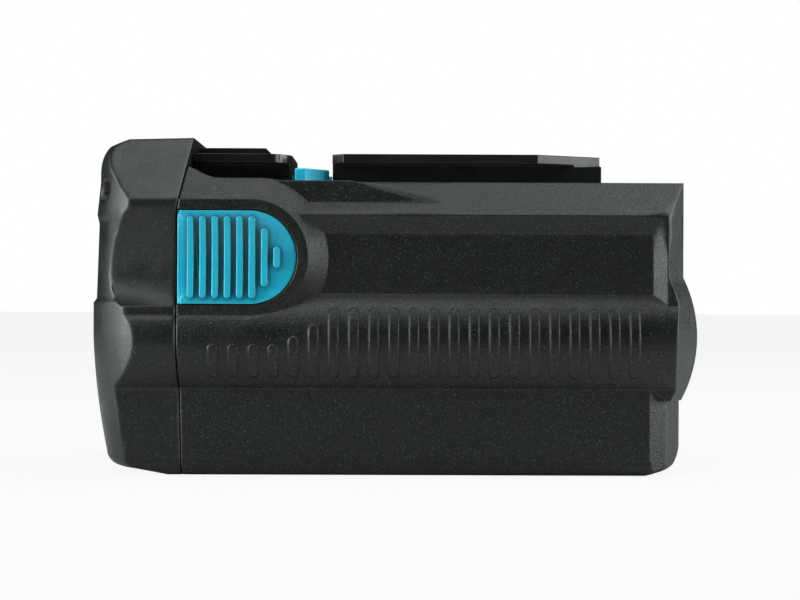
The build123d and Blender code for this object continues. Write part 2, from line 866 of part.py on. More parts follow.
# End cap
with BuildPart() as end_cap:
    extrude(cap_section(), amount=-half_length - overrun)
    add(cap_form(0), mode=Mode.INTERSECT)
    add(ring_recess.part, mode=Mode.SUBTRACT)
    add(cap_cavity.part, mode=Mode.SUBTRACT)
    add(cap_inner.part)
    add(scoops.part, mode=Mode.SUBTRACT)
    add(parting_side(0, True), mode=Mode.SUBTRACT)
    with BuildSketch(Plane.YZ.offset(-half_length)):
        with Locations(*cap_screw_places):
            Circle(cap_screw_shaft / 2 + screw_gap)
    extrude(amount=cap_length + parting_lean_top, mode=Mode.SUBTRACT)
    with BuildSketch(Plane.YZ.offset(-half_length)):
        with Locations(*cap_screw_places):
            Circle(cap_screw_bore / 2)
    extrude(amount=cap_screw_seat_x + half_length, mode=Mode.SUBTRACT)
    with BuildSketch(Plane.YZ.offset(parting_x - cap_wall)):
        with Locations((snap_y, band_crest_height), (-snap_y, band_crest_height)):
            Rectangle(snap_thickness, snap_height)
    extrude(amount=cap_wall + snap_length)
end_cap.part.label = "end_cap"
export_step(end_cap.part, "parts/end_cap.step")

# Cap screws, with their heads to the rear
with BuildPart() as cap_screws:
    cap_screw = screw(
        cap_screw_head, cap_screw_head_height, cap_screw_shaft, cap_screw_length, cap_screw_socket
    )
    for place_y, place_z in cap_screw_places:
        add(Pos(cap_screw_seat_x, place_y, place_z) * Rot(0, -90, 0) * cap_screw)
cap_screws.part.label = "cap_screws"
export_step(cap_screws.part, "parts/cap_screws.step")

# Main rail, with its lead-in, its blade slots and the hollow for the terminal block
with BuildPart() as main_rail:
    with BuildSketch(Plane.YZ.offset(main_rail_rear_x)):
        with Locations((0, body_height)):
            Rectangle(2 * rail_web_half_width, rail_groove, align=(Align.CENTER, Align.MIN))
        with Locations((0, rail_flange_z)):
            Rectangle(2 * rail_half_width, rail_flange_thickness, align=(Align.CENTER, Align.MIN))
    extrude(amount=main_rail_nose_x - main_rail_rear_x)
    with BuildSketch(Plane.XY.offset(body_height)):
        with BuildLine():
            Polyline(
                (main_rail_rear_x, 0),
                (main_rail_rear_x, rail_half_width - main_rail_corner),
                (main_rail_rear_x + main_rail_corner, rail_half_width),
                (main_rail_nose_x - main_rail_lead_in, rail_half_width),
                (main_rail_nose_x, main_rail_lead_y),
                (main_rail_nose_x, 0),
            )
            mirror(about=Plane.XZ)
        make_face()
    extrude(amount=rail_top - body_height, mode=Mode.INTERSECT)
    with BuildSketch(Plane.XY.offset(body_height)):
        with Locations(((terminal_low_x + terminal_high_x) / 2, 0)):
            Rectangle(
                terminal_high_x - terminal_low_x + 2 * terminal_gap, 2 * terminal_half_width + 2 * terminal_gap
            )
    extrude(amount=terminal_top + terminal_gap - body_height, mode=Mode.SUBTRACT)
    with BuildSketch(Plane.XY.offset(rail_slot_floor)):
        with Locations((main_rail_nose_x, 0)):
            with GridLocations(0, slot_pitch, 1, slot_count):
                Rectangle(main_rail_nose_x - contact_low_x, slot_width, align=(Align.MAX, Align.CENTER))
    extrude(amount=rail_top - rail_slot_floor, mode=Mode.SUBTRACT)
    with BuildSketch(Plane.XY.offset(body_height)):
        with Locations(*rail_screw_places):
            Circle(rail_screw_shaft / 2 + screw_gap)
    extrude(amount=rail_screw_length - wall + screw_gap, mode=Mode.SUBTRACT)
main_rail.part.label = "main_rail"
export_step(main_rail.part, "parts/main_rail.step")

# Rear rail, with its rounded nose end and its middle rib
with BuildPart() as rear_rail:
    rail_start_x = parting_x - overrun
    with BuildSketch(Plane.YZ.offset(rail_start_x)):
        with Locations((0, body_height)):
            Rectangle(2 * rail_web_half_width, rail_groove, align=(Align.CENTER, Align.MIN))
        with Locations((0, rail_flange_z)):
            Rectangle(2 * rail_half_width, rail_flange_thickness, align=(Align.CENTER, Align.MIN))
    extrude(amount=rear_rail_nose_x - rail_start_x)
    with BuildSketch(Plane.XY.offset(body_height)) as rear_plan:
        with Locations((rear_rail_nose_x, 0)):
            Rectangle(
                rear_rail_nose_x - rail_start_x, 2 * rail_half_width, align=(Align.MAX, Align.CENTER)
            )
        fillet(rear_plan.vertices().group_by(Axis.X)[-1], radius=rear_rail_corner)
    extrude(amount=rail_top - body_height, mode=Mode.INTERSECT)
    with BuildSketch(Plane.XZ):
        Polygon(
            (rail_start_x, rail_flange_z),
            (rear_rib_nose_x, rail_flange_z),
            (rear_rib_nose_x, rail_top + rear_rib_height - rear_rib_chamfer),
            (rear_rib_nose_x - rear_rib_chamfer, rail_top + rear_rib_height),
            (rail_start_x, rail_top + rear_rib_height),
            align=None,
        )
    extrude(amount=rear_rib_half_width, both=True)
    add(parting_side(rear_rail_gap, True), mode=Mode.INTERSECT)
    with BuildSketch(Plane.XY.offset(body_height)):
        with Locations(*rail_screw_places):
            Circle(rail_screw_shaft / 2 + screw_gap)
    extrude(amount=rail_screw_length - wall + screw_gap, mode=Mode.SUBTRACT)
rear_rail.part.label = "rear_rail"
export_step(rear_rail.part, "parts/rear_rail.step")

# Rail screws, driven up from inside
with BuildPart() as rail_screws:
    rail_screw = screw(
        rail_screw_head, rail_screw_head_height, rail_screw_shaft, rail_screw_length, rail_screw_socket
    )
    for place_x, place_y in rail_screw_places:
        add(Pos(place_x, place_y, body_height - wall) * Rot(180, 0, 0) * rail_screw)
rail_screws.part.label = "rail_screws"
export_step(rail_screws.part, "parts/rail_screws.step")

# Cells, each with its raised contact on the side that the series order gives it
for row_name, row_places in (("cells_top", top_row), ("cells_middle", middle_row), ("cells_bottom", bottom_row)):
    with BuildPart() as cell_row:
        with BuildSketch(Plane.XZ):
            with Locations(*row_places):
                Circle(cell_diameter / 2)
        extrude(amount=cell_end_y, both=True)
        for centre in row_places:
            positive_side = 1 if cell_path.index(centre) // 2 % 2 == 0 else -1
            with BuildSketch(Plane.XZ.offset(-positive_side * cell_end_y)):
                with Locations(centre):
                    Circle(cell_nub / 2)
            extrude(amount=-positive_side * holder_end_wall)
    cell_row.part.label = row_name
    export_step(cell_row.part, f"parts/{row_name}.step")

# Cell holders
with BuildPart() as cell_holder_left:
    add(holder(True))
cell_holder_left.part.label = "cell_holder_left"
export_step(cell_holder_left.part, "parts/cell_holder_left.step")

with BuildPart() as cell_holder_right:
    add(holder(False))
cell_holder_right.part.label = "cell_holder_right"
export_step(cell_holder_right.part, "parts/cell_holder_right.step")

# Strips that join the cells
with BuildPart() as busbars_left:
    add(busbars(left_chains, True))
busbars_left.part.label = "busbars_left"
export_step(busbars_left.part, "parts/busbars_left.step")

with BuildPart() as busbars_right:
    add(busbars(right_chains, False).mirror(Plane.XZ))
busbars_right.part.label = "busbars_right"
export_step(busbars_right.part, "parts/busbars_right.step")

# Main tabs from the first and the last pair of cells up to the board
with BuildPart() as positive_tab:
    tab_start_x = top_row[1][0] + strip_width / 2
    tab_end_x = positive_tab_x + positive_tab_width
    with BuildSketch(Plane.XZ.offset(-holder_outer_y)):
        Polygon(
            (tab_start_x, cells_top_z - strip_width / 2),
            (positive_tab_corner_x, cells_top_z - strip_width / 2),
            (positive_tab_corner_x, positive_tab_low_z),
            (tab_end_x, positive_tab_low_z),
            (tab_end_x, board_top + strip_thickness),
            (positive_tab_x, board_top + strip_thickness),
            (positive_tab_x, insulator_high),
            (tab_start_x, insulator_high),
            align=None,
        )
    extrude(amount=-strip_thickness)
    with Locations(((positive_tab_x + tab_end_x) / 2, (tab_landing_y + holder_outer_y) / 2, board_top)):
        Box(
            positive_tab_width,
            holder_outer_y - tab_landing_y,
            strip_thickness,
            align=(Align.CENTER, Align.CENTER, Align.MIN),
        )
positive_tab.part.label = "positive_tab"
export_step(positive_tab.part, "parts/positive_tab.step")

with BuildPart() as negative_tab:
    tab_start_x = bottom_row[-1][0] + strip_width / 2
    tab_end_x = negative_tab_x + negative_tab_width
    with BuildSketch(Plane.XZ.offset(-holder_outer_y)):
        Polygon(
            (tab_start_x, cells_bottom_z - strip_width / 2),
            (tab_end_x, cells_bottom_z - strip_width / 2),
            (tab_end_x, board_top + strip_thickness),
            (negative_tab_x, board_top + strip_thickness),
            (negative_tab_x, cells_bottom_z + strip_width / 2),
            (tab_start_x, cells_bottom_z + strip_width / 2),
            align=None,
        )
    extrude(amount=-strip_thickness)
    with Locations(((negative_tab_x + tab_end_x) / 2, (tab_landing_y + holder_outer_y) / 2, board_top)):
        Box(
            negative_tab_width,
            holder_outer_y - tab_landing_y,
            strip_thickness,
            align=(Align.CENTER, Align.CENTER, Align.MIN),
        )
negative_tab.part.label = "negative_tab"
export_step(negative_tab.part, "parts/negative_tab.step")

# Insulation between the strips and the housing
with BuildPart() as insulator_left:
    with BuildSketch(Plane.XZ.offset(-strip_y)):
        with Locations(((holder_low_x + holder_high_x) / 2, (insulator_low + insulator_high) / 2)):
            Rectangle(holder_high_x - holder_low_x - 2 * insulator_margin, insulator_high - insulator_low)
    extrude(amount=-insulator_thickness)
insulator_left.part.label = "insulator_left"
export_step(insulator_left.part, "parts/insulator_left.step")

with BuildPart() as insulator_right:
    add(insulator_left.part.mirror(Plane.XZ))
insulator_right.part.label = "insulator_right"
export_step(insulator_right.part, "parts/insulator_right.step")

# Circuit board
with BuildPart() as circuit_board:
    with BuildSketch(Plane.XY.offset(board_underside)):
        with Locations(((board_low_x + board_high_x) / 2, 0)):
            Rectangle(board_high_x - board_low_x, 2 * board_half_width)
        with Locations(*[(place_x, side * post_y) for place_x in post_places for side in (-1, 1)]):
            Circle(board_screw_shaft / 2 + screw_gap, mode=Mode.SUBTRACT)
    extrude(amount=board_thickness)
circuit_board.part.label = "circuit_board"
export_step(circuit_board.part, "parts/circuit_board.step")

with BuildPart() as board_screws:
    board_screw = screw(
        board_screw_head, board_screw_head_height, board_screw_shaft, board_screw_length, board_screw_socket
    )
    for place_x in post_places:
        for side in (-1, 1):
            add(Pos(place_x, side * post_y, board_top) * board_screw)
board_screws.part.label = "board_screws"
export_step(board_screws.part, "parts/board_screws.step")

with BuildPart() as power_transistors:
    for index in range(transistor_count):
        for side in (-1, 1):
            with Locations((transistor_first_x + index * transistor_pitch, side * transistor_y, board_top)):
                Box(
                    transistor_length,
                    transistor_width,
                    transistor_height,
                    align=(Align.CENTER, Align.CENTER, Align.MIN),
                )
power_transistors.part.label = "power_transistors"
export_step(power_transistors.part, "parts/power_transistors.step")

with BuildPart() as board_chips:
    for (place_x, place_y), (length, width) in zip(chip_places, chip_sizes):
        with Locations((place_x, place_y, board_top)):
            Box(length, width, chip_height, align=(Align.CENTER, Align.CENTER, Align.MIN))
board_chips.part.label = "board_chips"
export_step(board_chips.part, "parts/board_chips.step")

with BuildPart() as capacitors:
    with BuildSketch(Plane.XY.offset(board_top)):
        with Locations((capacitor_x, capacitor_y), (capacitor_x, -capacitor_y)):
            Circle(capacitor_diameter / 2)
    extrude(amount=capacitor_height)
capacitors.part.label = "capacitors"
export_step(capacitors.part, "parts/capacitors.step")

# Terminal block, with a slot for each blade and a leg hole under each slot
with BuildPart() as terminal_block:
    terminal_x = (terminal_low_x + terminal_high_x) / 2
    contact_x = (contact_low_x + contact_high_x) / 2
    with BuildSketch(Plane.XY.offset(board_top)):
        with Locations((terminal_x, 0)):
            Rectangle(terminal_high_x - terminal_low_x, 2 * terminal_half_width)
        with Locations((contact_x, 0)):
            with GridLocations(0, slot_pitch, 1, slot_count):
                Rectangle(
                    contact_leg_length + 2 * leg_gap, contact_thickness + 2 * leg_gap, mode=Mode.SUBTRACT
                )
    extrude(amount=terminal_top - board_top)
    with BuildSketch(Plane.XY.offset(slot_floor)):
        with Locations((terminal_high_x, 0)):
            with GridLocations(0, slot_pitch, 1, slot_count):
                Rectangle(terminal_high_x - contact_low_x, slot_width, align=(Align.MAX, Align.CENTER))
    extrude(amount=terminal_top - slot_floor, mode=Mode.SUBTRACT)
terminal_block.part.label = "terminal_block"
export_step(terminal_block.part, "parts/terminal_block.step")

with BuildPart() as power_contacts:
    add(contacts(power_slots))
power_contacts.part.label = "power_contacts"
export_step(power_contacts.part, "parts/power_contacts.step")

with BuildPart() as signal_contacts:
    add(contacts(signal_slots))
signal_contacts.part.label = "signal_contacts"
export_step(signal_contacts.part, "parts/signal_contacts.step")

# Temperature sensor, resting between two cells of the top row
with BuildPart() as temperature_sensor:
    sensor_x = (top_row[3][0] + top_row[4][0]) / 2
    touch = cell_diameter / 2 + cell_play + sensor_radius
    sensor_z = cells_top_z + sqrt(touch**2 - (cell_pitch / 2) ** 2)
    with BuildSketch(Plane.XZ):
        with Locations((sensor_x, sensor_z)):
            Circle(sensor_radius)
    extrude(amount=sensor_length / 2, both=True)
    with Locations((sensor_x, 0, sensor_z)):
        Box(
            lead_width,
            lead_thickness,
            board_underside - sensor_z,
            align=(Align.CENTER, Align.CENTER, Align.MIN),
        )
temperature_sensor.part.label = "temperature_sensor"
export_step(temperature_sensor.part, "parts/temperature_sensor.step")

# Foam pad between the cell holders and the nose
with BuildPart() as nose_pad:
    with Locations((holder_high_x, 0, pad_low)):
        Box(
            half_length - holder_high_x,
            2 * pad_half_width,
            pad_high - pad_low,
            align=(Align.MIN, Align.CENTER, Align.MIN),
        )
    add(nose_form(nose_wall + pad_gap), mode=Mode.INTERSECT)
nose_pad.part.label = "nose_pad"
export_step(nose_pad.part, "parts/nose_pad.step")

# Latch frame: a floor on the cell holders and a tower that backs both springs
with BuildPart() as latch_frame:
    with BuildSketch(Plane.XY.offset(holder_top)):
        with Locations(((frame_low_x + frame_high_x) / 2, 0)):
            Rectangle(frame_high_x - frame_low_x, 2 * frame_half_width)
    extrude(amount=frame_floor)
    with BuildSketch(Plane.XY.offset(holder_top)):
        with Locations(((tower_low_x + tower_high_x) / 2, 0)):
            Rectangle(tower_high_x - tower_low_x, 2 * tower_y)
    extrude(amount=tower_top - holder_top)
    with BuildSketch(Plane.XY.offset(holder_top)):
        with Locations(((tower_low_x + tower_high_x) / 2, 0)):
            Rectangle(tower_high_x - tower_low_x - 2 * tower_wall, 2 * tower_y - 2 * tower_wall)
    extrude(amount=tower_top - holder_top, mode=Mode.SUBTRACT)
    with BuildSketch(Plane.XZ.offset(-tower_y)):
        with Locations((spring_x, spring_z)):
            Circle(spigot_diameter / 2)
    extrude(amount=-spigot_length)
    with BuildSketch(Plane.XZ.offset(tower_y)):
        with Locations((spring_x, spring_z)):
            Circle(spigot_diameter / 2)
    extrude(amount=spigot_length)
    with BuildSketch(Plane.XY.offset(holder_top + frame_floor)):
        with Locations(*[(place_x, side * frame_screw_y) for place_x in frame_screw_places for side in (-1, 1)]):
            Circle(frame_screw_head / 2 + screw_gap)
    extrude(amount=-frame_screw_head_height, mode=Mode.SUBTRACT)
    with BuildSketch(Plane.XY.offset(holder_top + frame_floor)):
        with Locations(*[(place_x, side * frame_screw_y) for place_x in frame_screw_places for side in (-1, 1)]):
            Circle(frame_screw_shaft / 2 + screw_gap)
    extrude(amount=-frame_floor, mode=Mode.SUBTRACT)
latch_frame.part.label = "latch_frame"
export_step(latch_frame.part, "parts/latch_frame.step")

with BuildPart() as frame_screws:
    frame_screw = screw(
        frame_screw_head, frame_screw_head_height, frame_screw_shaft, frame_screw_length, frame_screw_socket
    )
    for place_x in frame_screw_places:
        for side in (-1, 1):
            seat_z = holder_top + frame_floor - frame_screw_head_height
            add(Pos(place_x, side * frame_screw_y, seat_z) * frame_screw)
frame_screws.part.label = "frame_screws"
export_step(frame_screws.part, "parts/frame_screws.step")

# Latch slider: a plate behind the button, and an arm that carries the hook up between the rails
with BuildPart() as latch_slider_left:
    with BuildSketch(Plane.XZ.offset(-slider_inner_y)):
        with Locations(((slider_low_x + arm_high_x) / 2, (slider_low_z + slider_high_z) / 2)):
            Rectangle(arm_high_x - slider_low_x, slider_high_z - slider_low_z)
    extrude(amount=-slider_thickness)
    with BuildSketch(Plane.YZ.offset(arm_low_x)):
        Polygon(
            (slider_outer_y, arm_root_z),
            (slider_outer_y, slider_high_z),
            (arm_shoulder_y, arm_top),
            (hook_inner_y, arm_top),
            (hook_inner_y, arm_under),
            (slider_inner_y + arm_root_z - arm_under, arm_under),
            (slider_inner_y, arm_root_z),
            align=None,
        )
    extrude(amount=arm_high_x - arm_low_x)
    with BuildSketch(Plane.XY.offset(arm_top)):
        Polygon(
            (arm_low_x, hook_inner_y),
            (arm_low_x, rail_half_width),
            (hook_ramp_x, rail_half_width),
            (arm_high_x, hook_ramp_y),
            (arm_high_x, hook_inner_y),
            align=None,
        )
    extrude(amount=hook_top - arm_top)
    with BuildSketch(Plane.XZ.offset(-slider_inner_y)):
        with Locations((spring_x, spring_z)):
            Circle(spigot_diameter / 2)
    extrude(amount=spigot_length)
latch_slider_left.part.label = "latch_slider_left"
export_step(latch_slider_left.part, "parts/latch_slider_left.step")

with BuildPart() as latch_slider_right:
    add(latch_slider_left.part.mirror(Plane.XZ))
latch_slider_right.part.label = "latch_slider_right"
export_step(latch_slider_right.part, "parts/latch_slider_right.step")

# The button's raised ribs, cut to follow its dished face
with BuildPart() as button_ribs:
    with BuildSketch(Plane.XZ.offset(-button_back_y)):
        for index, half_rib in enumerate(button_rib_half_lengths):
            with Locations((button_rib_first_x + index * button_rib_pitch, button_z)):
                SlotOverall(2 * half_rib, button_rib_width, rotation=90)
    extrude(amount=-button_thickness - button_rib_rise)
    with BuildSketch(Plane.YZ.offset(parting_x)):
        with Locations((button_face_y - button_dish + dish_radius, button_z)):
            Circle(dish_radius - button_rib_rise)
    extrude(amount=cap_length + button_radius, mode=Mode.SUBTRACT)

# Release button, with its neck reaching in to the slider
with BuildPart() as release_button_left:
    button_rear_x = parting_x + button_rear_gap
    extrude(button_outline(Plane.XZ.offset(-button_face_y), button_radius, button_rear_x), amount=button_thickness)
    with BuildSketch(Plane.YZ.offset(parting_x)):
        with Locations((button_face_y - button_dish + dish_radius, button_z)):
            Circle(dish_radius)
    extrude(amount=cap_length + button_radius, mode=Mode.SUBTRACT)
    add(button_ribs.part)
    with BuildSketch(Plane.XY.offset(button_z - button_radius)):
        Polygon(
            (button_rear_x, button_face_y),
            (button_rear_x + button_bevel, button_face_y),
            (button_rear_x, button_face_y - button_bevel),
            align=None,
        )
    extrude(amount=2 * button_radius, mode=Mode.SUBTRACT)
    with BuildSketch(Plane.XZ.offset(-slider_outer_y)):
        with Locations(((neck_low_x + neck_high_x) / 2, (neck_low_z + neck_high_z) / 2)):
            Rectangle(neck_high_x - neck_low_x, neck_high_z - neck_low_z)
    extrude(amount=-(button_back_y - slider_outer_y))
release_button_left.part.label = "release_button_left"
export_step(release_button_left.part, "parts/release_button_left.step")

with BuildPart() as release_button_right:
    add(release_button_left.part.mirror(Plane.XZ))
release_button_right.part.label = "release_button_right"
export_step(release_button_right.part, "parts/release_button_right.step")

# Springs between the tower and the sliders
with BuildPart() as button_spring_left:
    coil_length = slider_inner_y - tower_y - spring_wire
    with BuildLine() as coil:
        Helix(
            coil_length / spring_turns,
            coil_length,
            spring_radius,
            center=(spring_x, tower_y + spring_wire / 2, spring_z),
            direction=(0, 1, 0),
        )
    with BuildSketch(Plane(origin=coil.line @ 0, z_dir=coil.line % 0)):
        RegularPolygon(spring_wire / 2, 6)
    sweep(is_frenet=True)
button_spring_left.part.label = "button_spring_left"
export_step(button_spring_left.part, "parts/button_spring_left.step")

with BuildPart() as button_spring_right:
    add(button_spring_left.part.mirror(Plane.XZ))
button_spring_right.part.label = "button_spring_right"
export_step(button_spring_right.part, "parts/button_spring_right.step")
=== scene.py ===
"""Dresses the slide-on battery pack for rendering: rounded mouldings, grained plastics and a studio."""
from math import atan2, copysign, cos, hypot, radians, sin

import bmesh
import bpy
from mathutils import Matrix, Vector


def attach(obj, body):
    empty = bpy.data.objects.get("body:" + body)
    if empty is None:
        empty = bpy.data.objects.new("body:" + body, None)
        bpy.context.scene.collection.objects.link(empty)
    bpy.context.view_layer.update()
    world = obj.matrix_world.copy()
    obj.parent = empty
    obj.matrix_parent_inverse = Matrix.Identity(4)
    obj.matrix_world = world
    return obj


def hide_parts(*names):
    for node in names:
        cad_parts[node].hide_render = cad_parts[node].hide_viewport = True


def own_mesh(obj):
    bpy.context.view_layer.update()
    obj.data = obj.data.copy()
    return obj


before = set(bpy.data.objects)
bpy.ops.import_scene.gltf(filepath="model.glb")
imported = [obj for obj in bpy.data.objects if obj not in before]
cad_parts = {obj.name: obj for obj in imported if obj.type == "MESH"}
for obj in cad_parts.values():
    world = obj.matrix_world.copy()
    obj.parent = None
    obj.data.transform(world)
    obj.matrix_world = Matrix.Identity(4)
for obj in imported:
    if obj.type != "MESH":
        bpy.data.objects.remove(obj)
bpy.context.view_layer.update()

bl_info = {
    "name": "Battery pack dresser",
    "version": (1, 0, 0),
    "blender": (4, 5, 0),
    "location": "View3D > Sidebar > Battery pack",
    "description": "Rounds, colours and lights the slide-on battery pack",
    "category": "Object",
}

MM = 0.001
ROOT_BODY = "pack"
UP = Vector((0, 0, 1))
WHITE = (1, 1, 1, 1)

# How near points are merged, how flat faces are joined, and which edges are smoothed and which rounded
MERGE_DISTANCE = 2e-6
FLAT_ANGLE = radians(0.05)
SMOOTH_ANGLE = radians(27)
BEVEL_ANGLE = radians(30)
ON_SURFACE = 0.012 * MM

# Where the end cap meets the housing: straight in the middle, leaning towards the nose at foot and top
PARTING_X = -58.6 * MM
PARTING_LOW = 47.0 * MM
PARTING_HIGH = 71.0 * MM
PARTING_LEAN_FOOT = 1.2 * MM
PARTING_LEAN_TOP = 3.4 * MM
PACK_HEIGHT = 92.9 * MM
SEAM_REACH = 0.02 * MM
SEAM_GAP = 0.2 * MM

# The grip band is round about an axis along the pack, and its ribs stand a little prouder
BAND_AXIS_Y = 25.3 * MM
BAND_AXIS_Z = 36.5 * MM
BAND_RADII = (16.7 * MM, 17.3 * MM)

# The cap's upper rear corner, which swells a little beyond the CAD's
CORNER_X = -70.0 * MM
CORNER_Z = 80.0 * MM
CORNER_SWELL = 0.11

# The cap's finger scoop, which deepens towards the rear, and the power by which its floor sags
SCOOP_LOW = 46.1 * MM
SCOOP_HIGH = 72.7 * MM
SCOOP_FRONT_X = -55.2 * MM
SCOOP_FRONT_DEPTH = 1.2 * MM
SCOOP_DEEPENING = 7.4 / 33.1
SCOOP_SIDE_Y = 40.0 * MM
SCOOP_REACH = 0.15 * MM
SCOOP_SAG = 1.4

# The ribs of a button, which sit a little nearer its tip than the CAD's, and the bounds of the face that
# holds them
BUTTON_MIDDLE_Z = 59.4 * MM
BUTTON_REAR_X = -57.6 * MM
BUTTON_ROUND_X = -38.7 * MM
BUTTON_INNER = 11.4 * MM
BUTTON_FACE_Y = 39.0 * MM
BUTTON_RIB_SHIFT = 1.0 * MM

# The main rail's nose end: its flanges taper above a small ledge, and its web stays straight below
RAIL_NOSE_X = 59.0 * MM
RAIL_TIP_Y = 12.5 * MM
RAIL_WEB_Y = 17.0 * MM
RAIL_LEDGE_Z = 86.395 * MM
RAIL_LEDGE_HEIGHT = 0.5 * MM
RAIL_LEVEL_LIMIT = 0.5

# Soft patches of tone and of gloss, and the grain; a scale is the number of cells in a metre
TONE_SCALE = 90.0
GLOSS_SCALE = 160.0
PATCH_DETAIL = 3.0
GLOSS_GAIN = 0.05
GLOSS_LOSS = 0.06
GRAIN_DETAIL = 2.0
GRAIN_ROUGHNESS = 0.6
GRAIN_STRENGTH = 0.55

# Pale specks: the noise at which they begin and are full, and how many times paler they are
SPECK_RANGE = (0.58, 0.75)
SPECK_COARSENESS = 0.8
SPECK_DETAIL = 1.0
SPECK_PALENESS = 11

# Painted shade in hollows: how open a place is where the shade is full and where it ends, and the share of
# the colour left there
PAINTED_SHADE_RANGE = (0.45, 0.92)
PAINTED_SHADE_SHARE = 0.2
PAINTED_SHADE_SAMPLES = 16

# Paler edges, partly wear and partly painted highlights: the cosine of the rounded normal's turn where they
# are full and where they end, and the paler colour
WEAR_AND_HIGHLIGHT_RANGE = (0.72, 0.97)
WEAR_AND_HIGHLIGHT_PALENESS = 3
WEAR_AND_HIGHLIGHT_LIFT = 0.02
EDGE_SAMPLES = 8

# Edges of the housing that are rounder than the rest: x, z, reach and radius, which is full in the core
SOFT_SPOTS = (
    (5.0 * MM, 77.8 * MM, 14.0 * MM, 2.6 * MM),
    (75.6 * MM, 68.6 * MM, 8.0 * MM, 4.0 * MM),
)
SOFT_CORE = 0.4

# Each finish inside: its nodes, colour, roughness, cells of grain in a metre, grain depth, and metal or not
INSIDE_FINISHES = {
    "cell_sleeve_look": (
        ("cells_top", "cells_middle", "cells_bottom"), (0.03, 0.2, 0.17), 0.3, 700, 0.01 * MM, 0,
    ),
    "holder_look": (
        ("cell_holder_left", "cell_holder_right"), (0.55, 0.55, 0.52), 0.5, 1500, 0.03 * MM, 0,
    ),
    "strip_look": (
        ("busbars_left", "busbars_right", "positive_tab", "negative_tab"),
        (0.62, 0.6, 0.55), 0.3, 2500, 0.01 * MM, 1,
    ),
    "insulation_look": (
        ("insulator_left", "insulator_right"), (0.45, 0.41, 0.32), 0.7, 1800, 0.04 * MM, 0,
    ),
    "board_look": (("circuit_board",), (0.01, 0.09, 0.035), 0.3, 1200, 0.01 * MM, 0),
    "chip_look": (("power_transistors", "board_chips"), (0.015, 0.015, 0.015), 0.5, 2600, 0.02 * MM, 0),
    "capacitor_look": (("capacitors",), (0.02, 0.02, 0.035), 0.3, 900, 0.01 * MM, 0),
    "terminal_look": (("terminal_block",), (0.012, 0.012, 0.012), 0.45, 2200, 0.03 * MM, 0),
    "contact_look": (("power_contacts", "signal_contacts"), (0.75, 0.53, 0.3), 0.22, 2600, 0.01 * MM, 1),
    "sensor_look": (("temperature_sensor",), (0.02, 0.02, 0.02), 0.25, 900, 0.01 * MM, 0),
    "foam_look": (("nose_pad",), (0.03, 0.03, 0.03), 0.85, 900, 0.2 * MM, 0),
    "frame_look": (("latch_frame",), (0.03, 0.03, 0.032), 0.5, 1600, 0.03 * MM, 0),
}

# The studio, in metres: each lamp's name, place, size and power setting, then the floor and the camera
LAMPS = (
    ("top_lamp", (0.0, 0.08, 0.95), 0.6, "top_power"),
    ("top_right_lamp", (0.55, 0.08, 0.8), 0.5, "top_right_power"),
    ("high_front_lamp", (-0.05, -0.35, 0.9), 0.5, "high_front_power"),
    ("front_left_lamp", (-0.45, -0.55, 0.6), 0.5, "front_left_power"),
    ("left_lamp", (-0.9, -0.3, 0.2), 0.5, "left_power"),
    ("left_back_lamp", (-0.95, 0.08, 0.25), 0.6, "left_back_power"),
    ("right_front_lamp", (0.85, -0.49, 0.16), 0.24, "right_front_power"),
    ("right_lamp", (0.95, 0.0, 0.22), 0.6, "right_power"),
)
LAMP_TARGET = (0, 0, 0.045)
LAMP_COLOUR = (0.94, 1.0, 0.955)
FLOOR_REACH = 6.0
FLOOR_COLOUR = (0.6, 0.6, 0.6, 1)
FLOOR_ROUGHNESS = 0.9
FLOOR_GLOW = 0.9
SENSOR_WIDTH_MM = 36


class PlasticSettings(bpy.types.PropertyGroup):
    """Colours and grain of the pack's mouldings."""

    housing_colour: bpy.props.FloatVectorProperty(
        name="Housing colour", description="Charcoal of the ribbed housing",
        subtype="COLOR", size=3, min=0, max=1, default=(0.0050, 0.0060, 0.0054),
    )
    cap_colour: bpy.props.FloatVectorProperty(
        name="Cap colour", description="Charcoal of the end cap",
        subtype="COLOR", size=3, min=0, max=1, default=(0.0068, 0.0080, 0.0073),
    )
    rail_colour: bpy.props.FloatVectorProperty(
        name="Rail colour", description="Black of the sliding rails",
        subtype="COLOR", size=3, min=0, max=1, default=(0.014, 0.014, 0.0145),
    )
    latch_colour: bpy.props.FloatVectorProperty(
        name="Latch colour", description="Blue of the release buttons",
        subtype="COLOR", size=3, min=0, max=1, default=(0.013, 0.47, 0.71),
    )
    # Painted light: the hooks' blue is set lighter than the buttons', as if the hooks were more brightly lit
    hook_painted_light_colour: bpy.props.FloatVectorProperty(
        name="Hook colour", description="Blue of the hooks between the rails",
        subtype="COLOR", size=3, min=0, max=1, default=(0.03, 0.68, 1.0),
    )
    grain_size: bpy.props.FloatProperty(
        name="Grain size", description="Width of one pit of the moulded grain",
        unit="LENGTH", min=0.0001, max=0.002, default=0.00042,
    )
    edge_radius: bpy.props.FloatProperty(
        name="Edge radius", description="Radius from which those of the moulded edges are worked out",
        unit="LENGTH", min=0.0001, max=0.002, default=0.0005,
    )


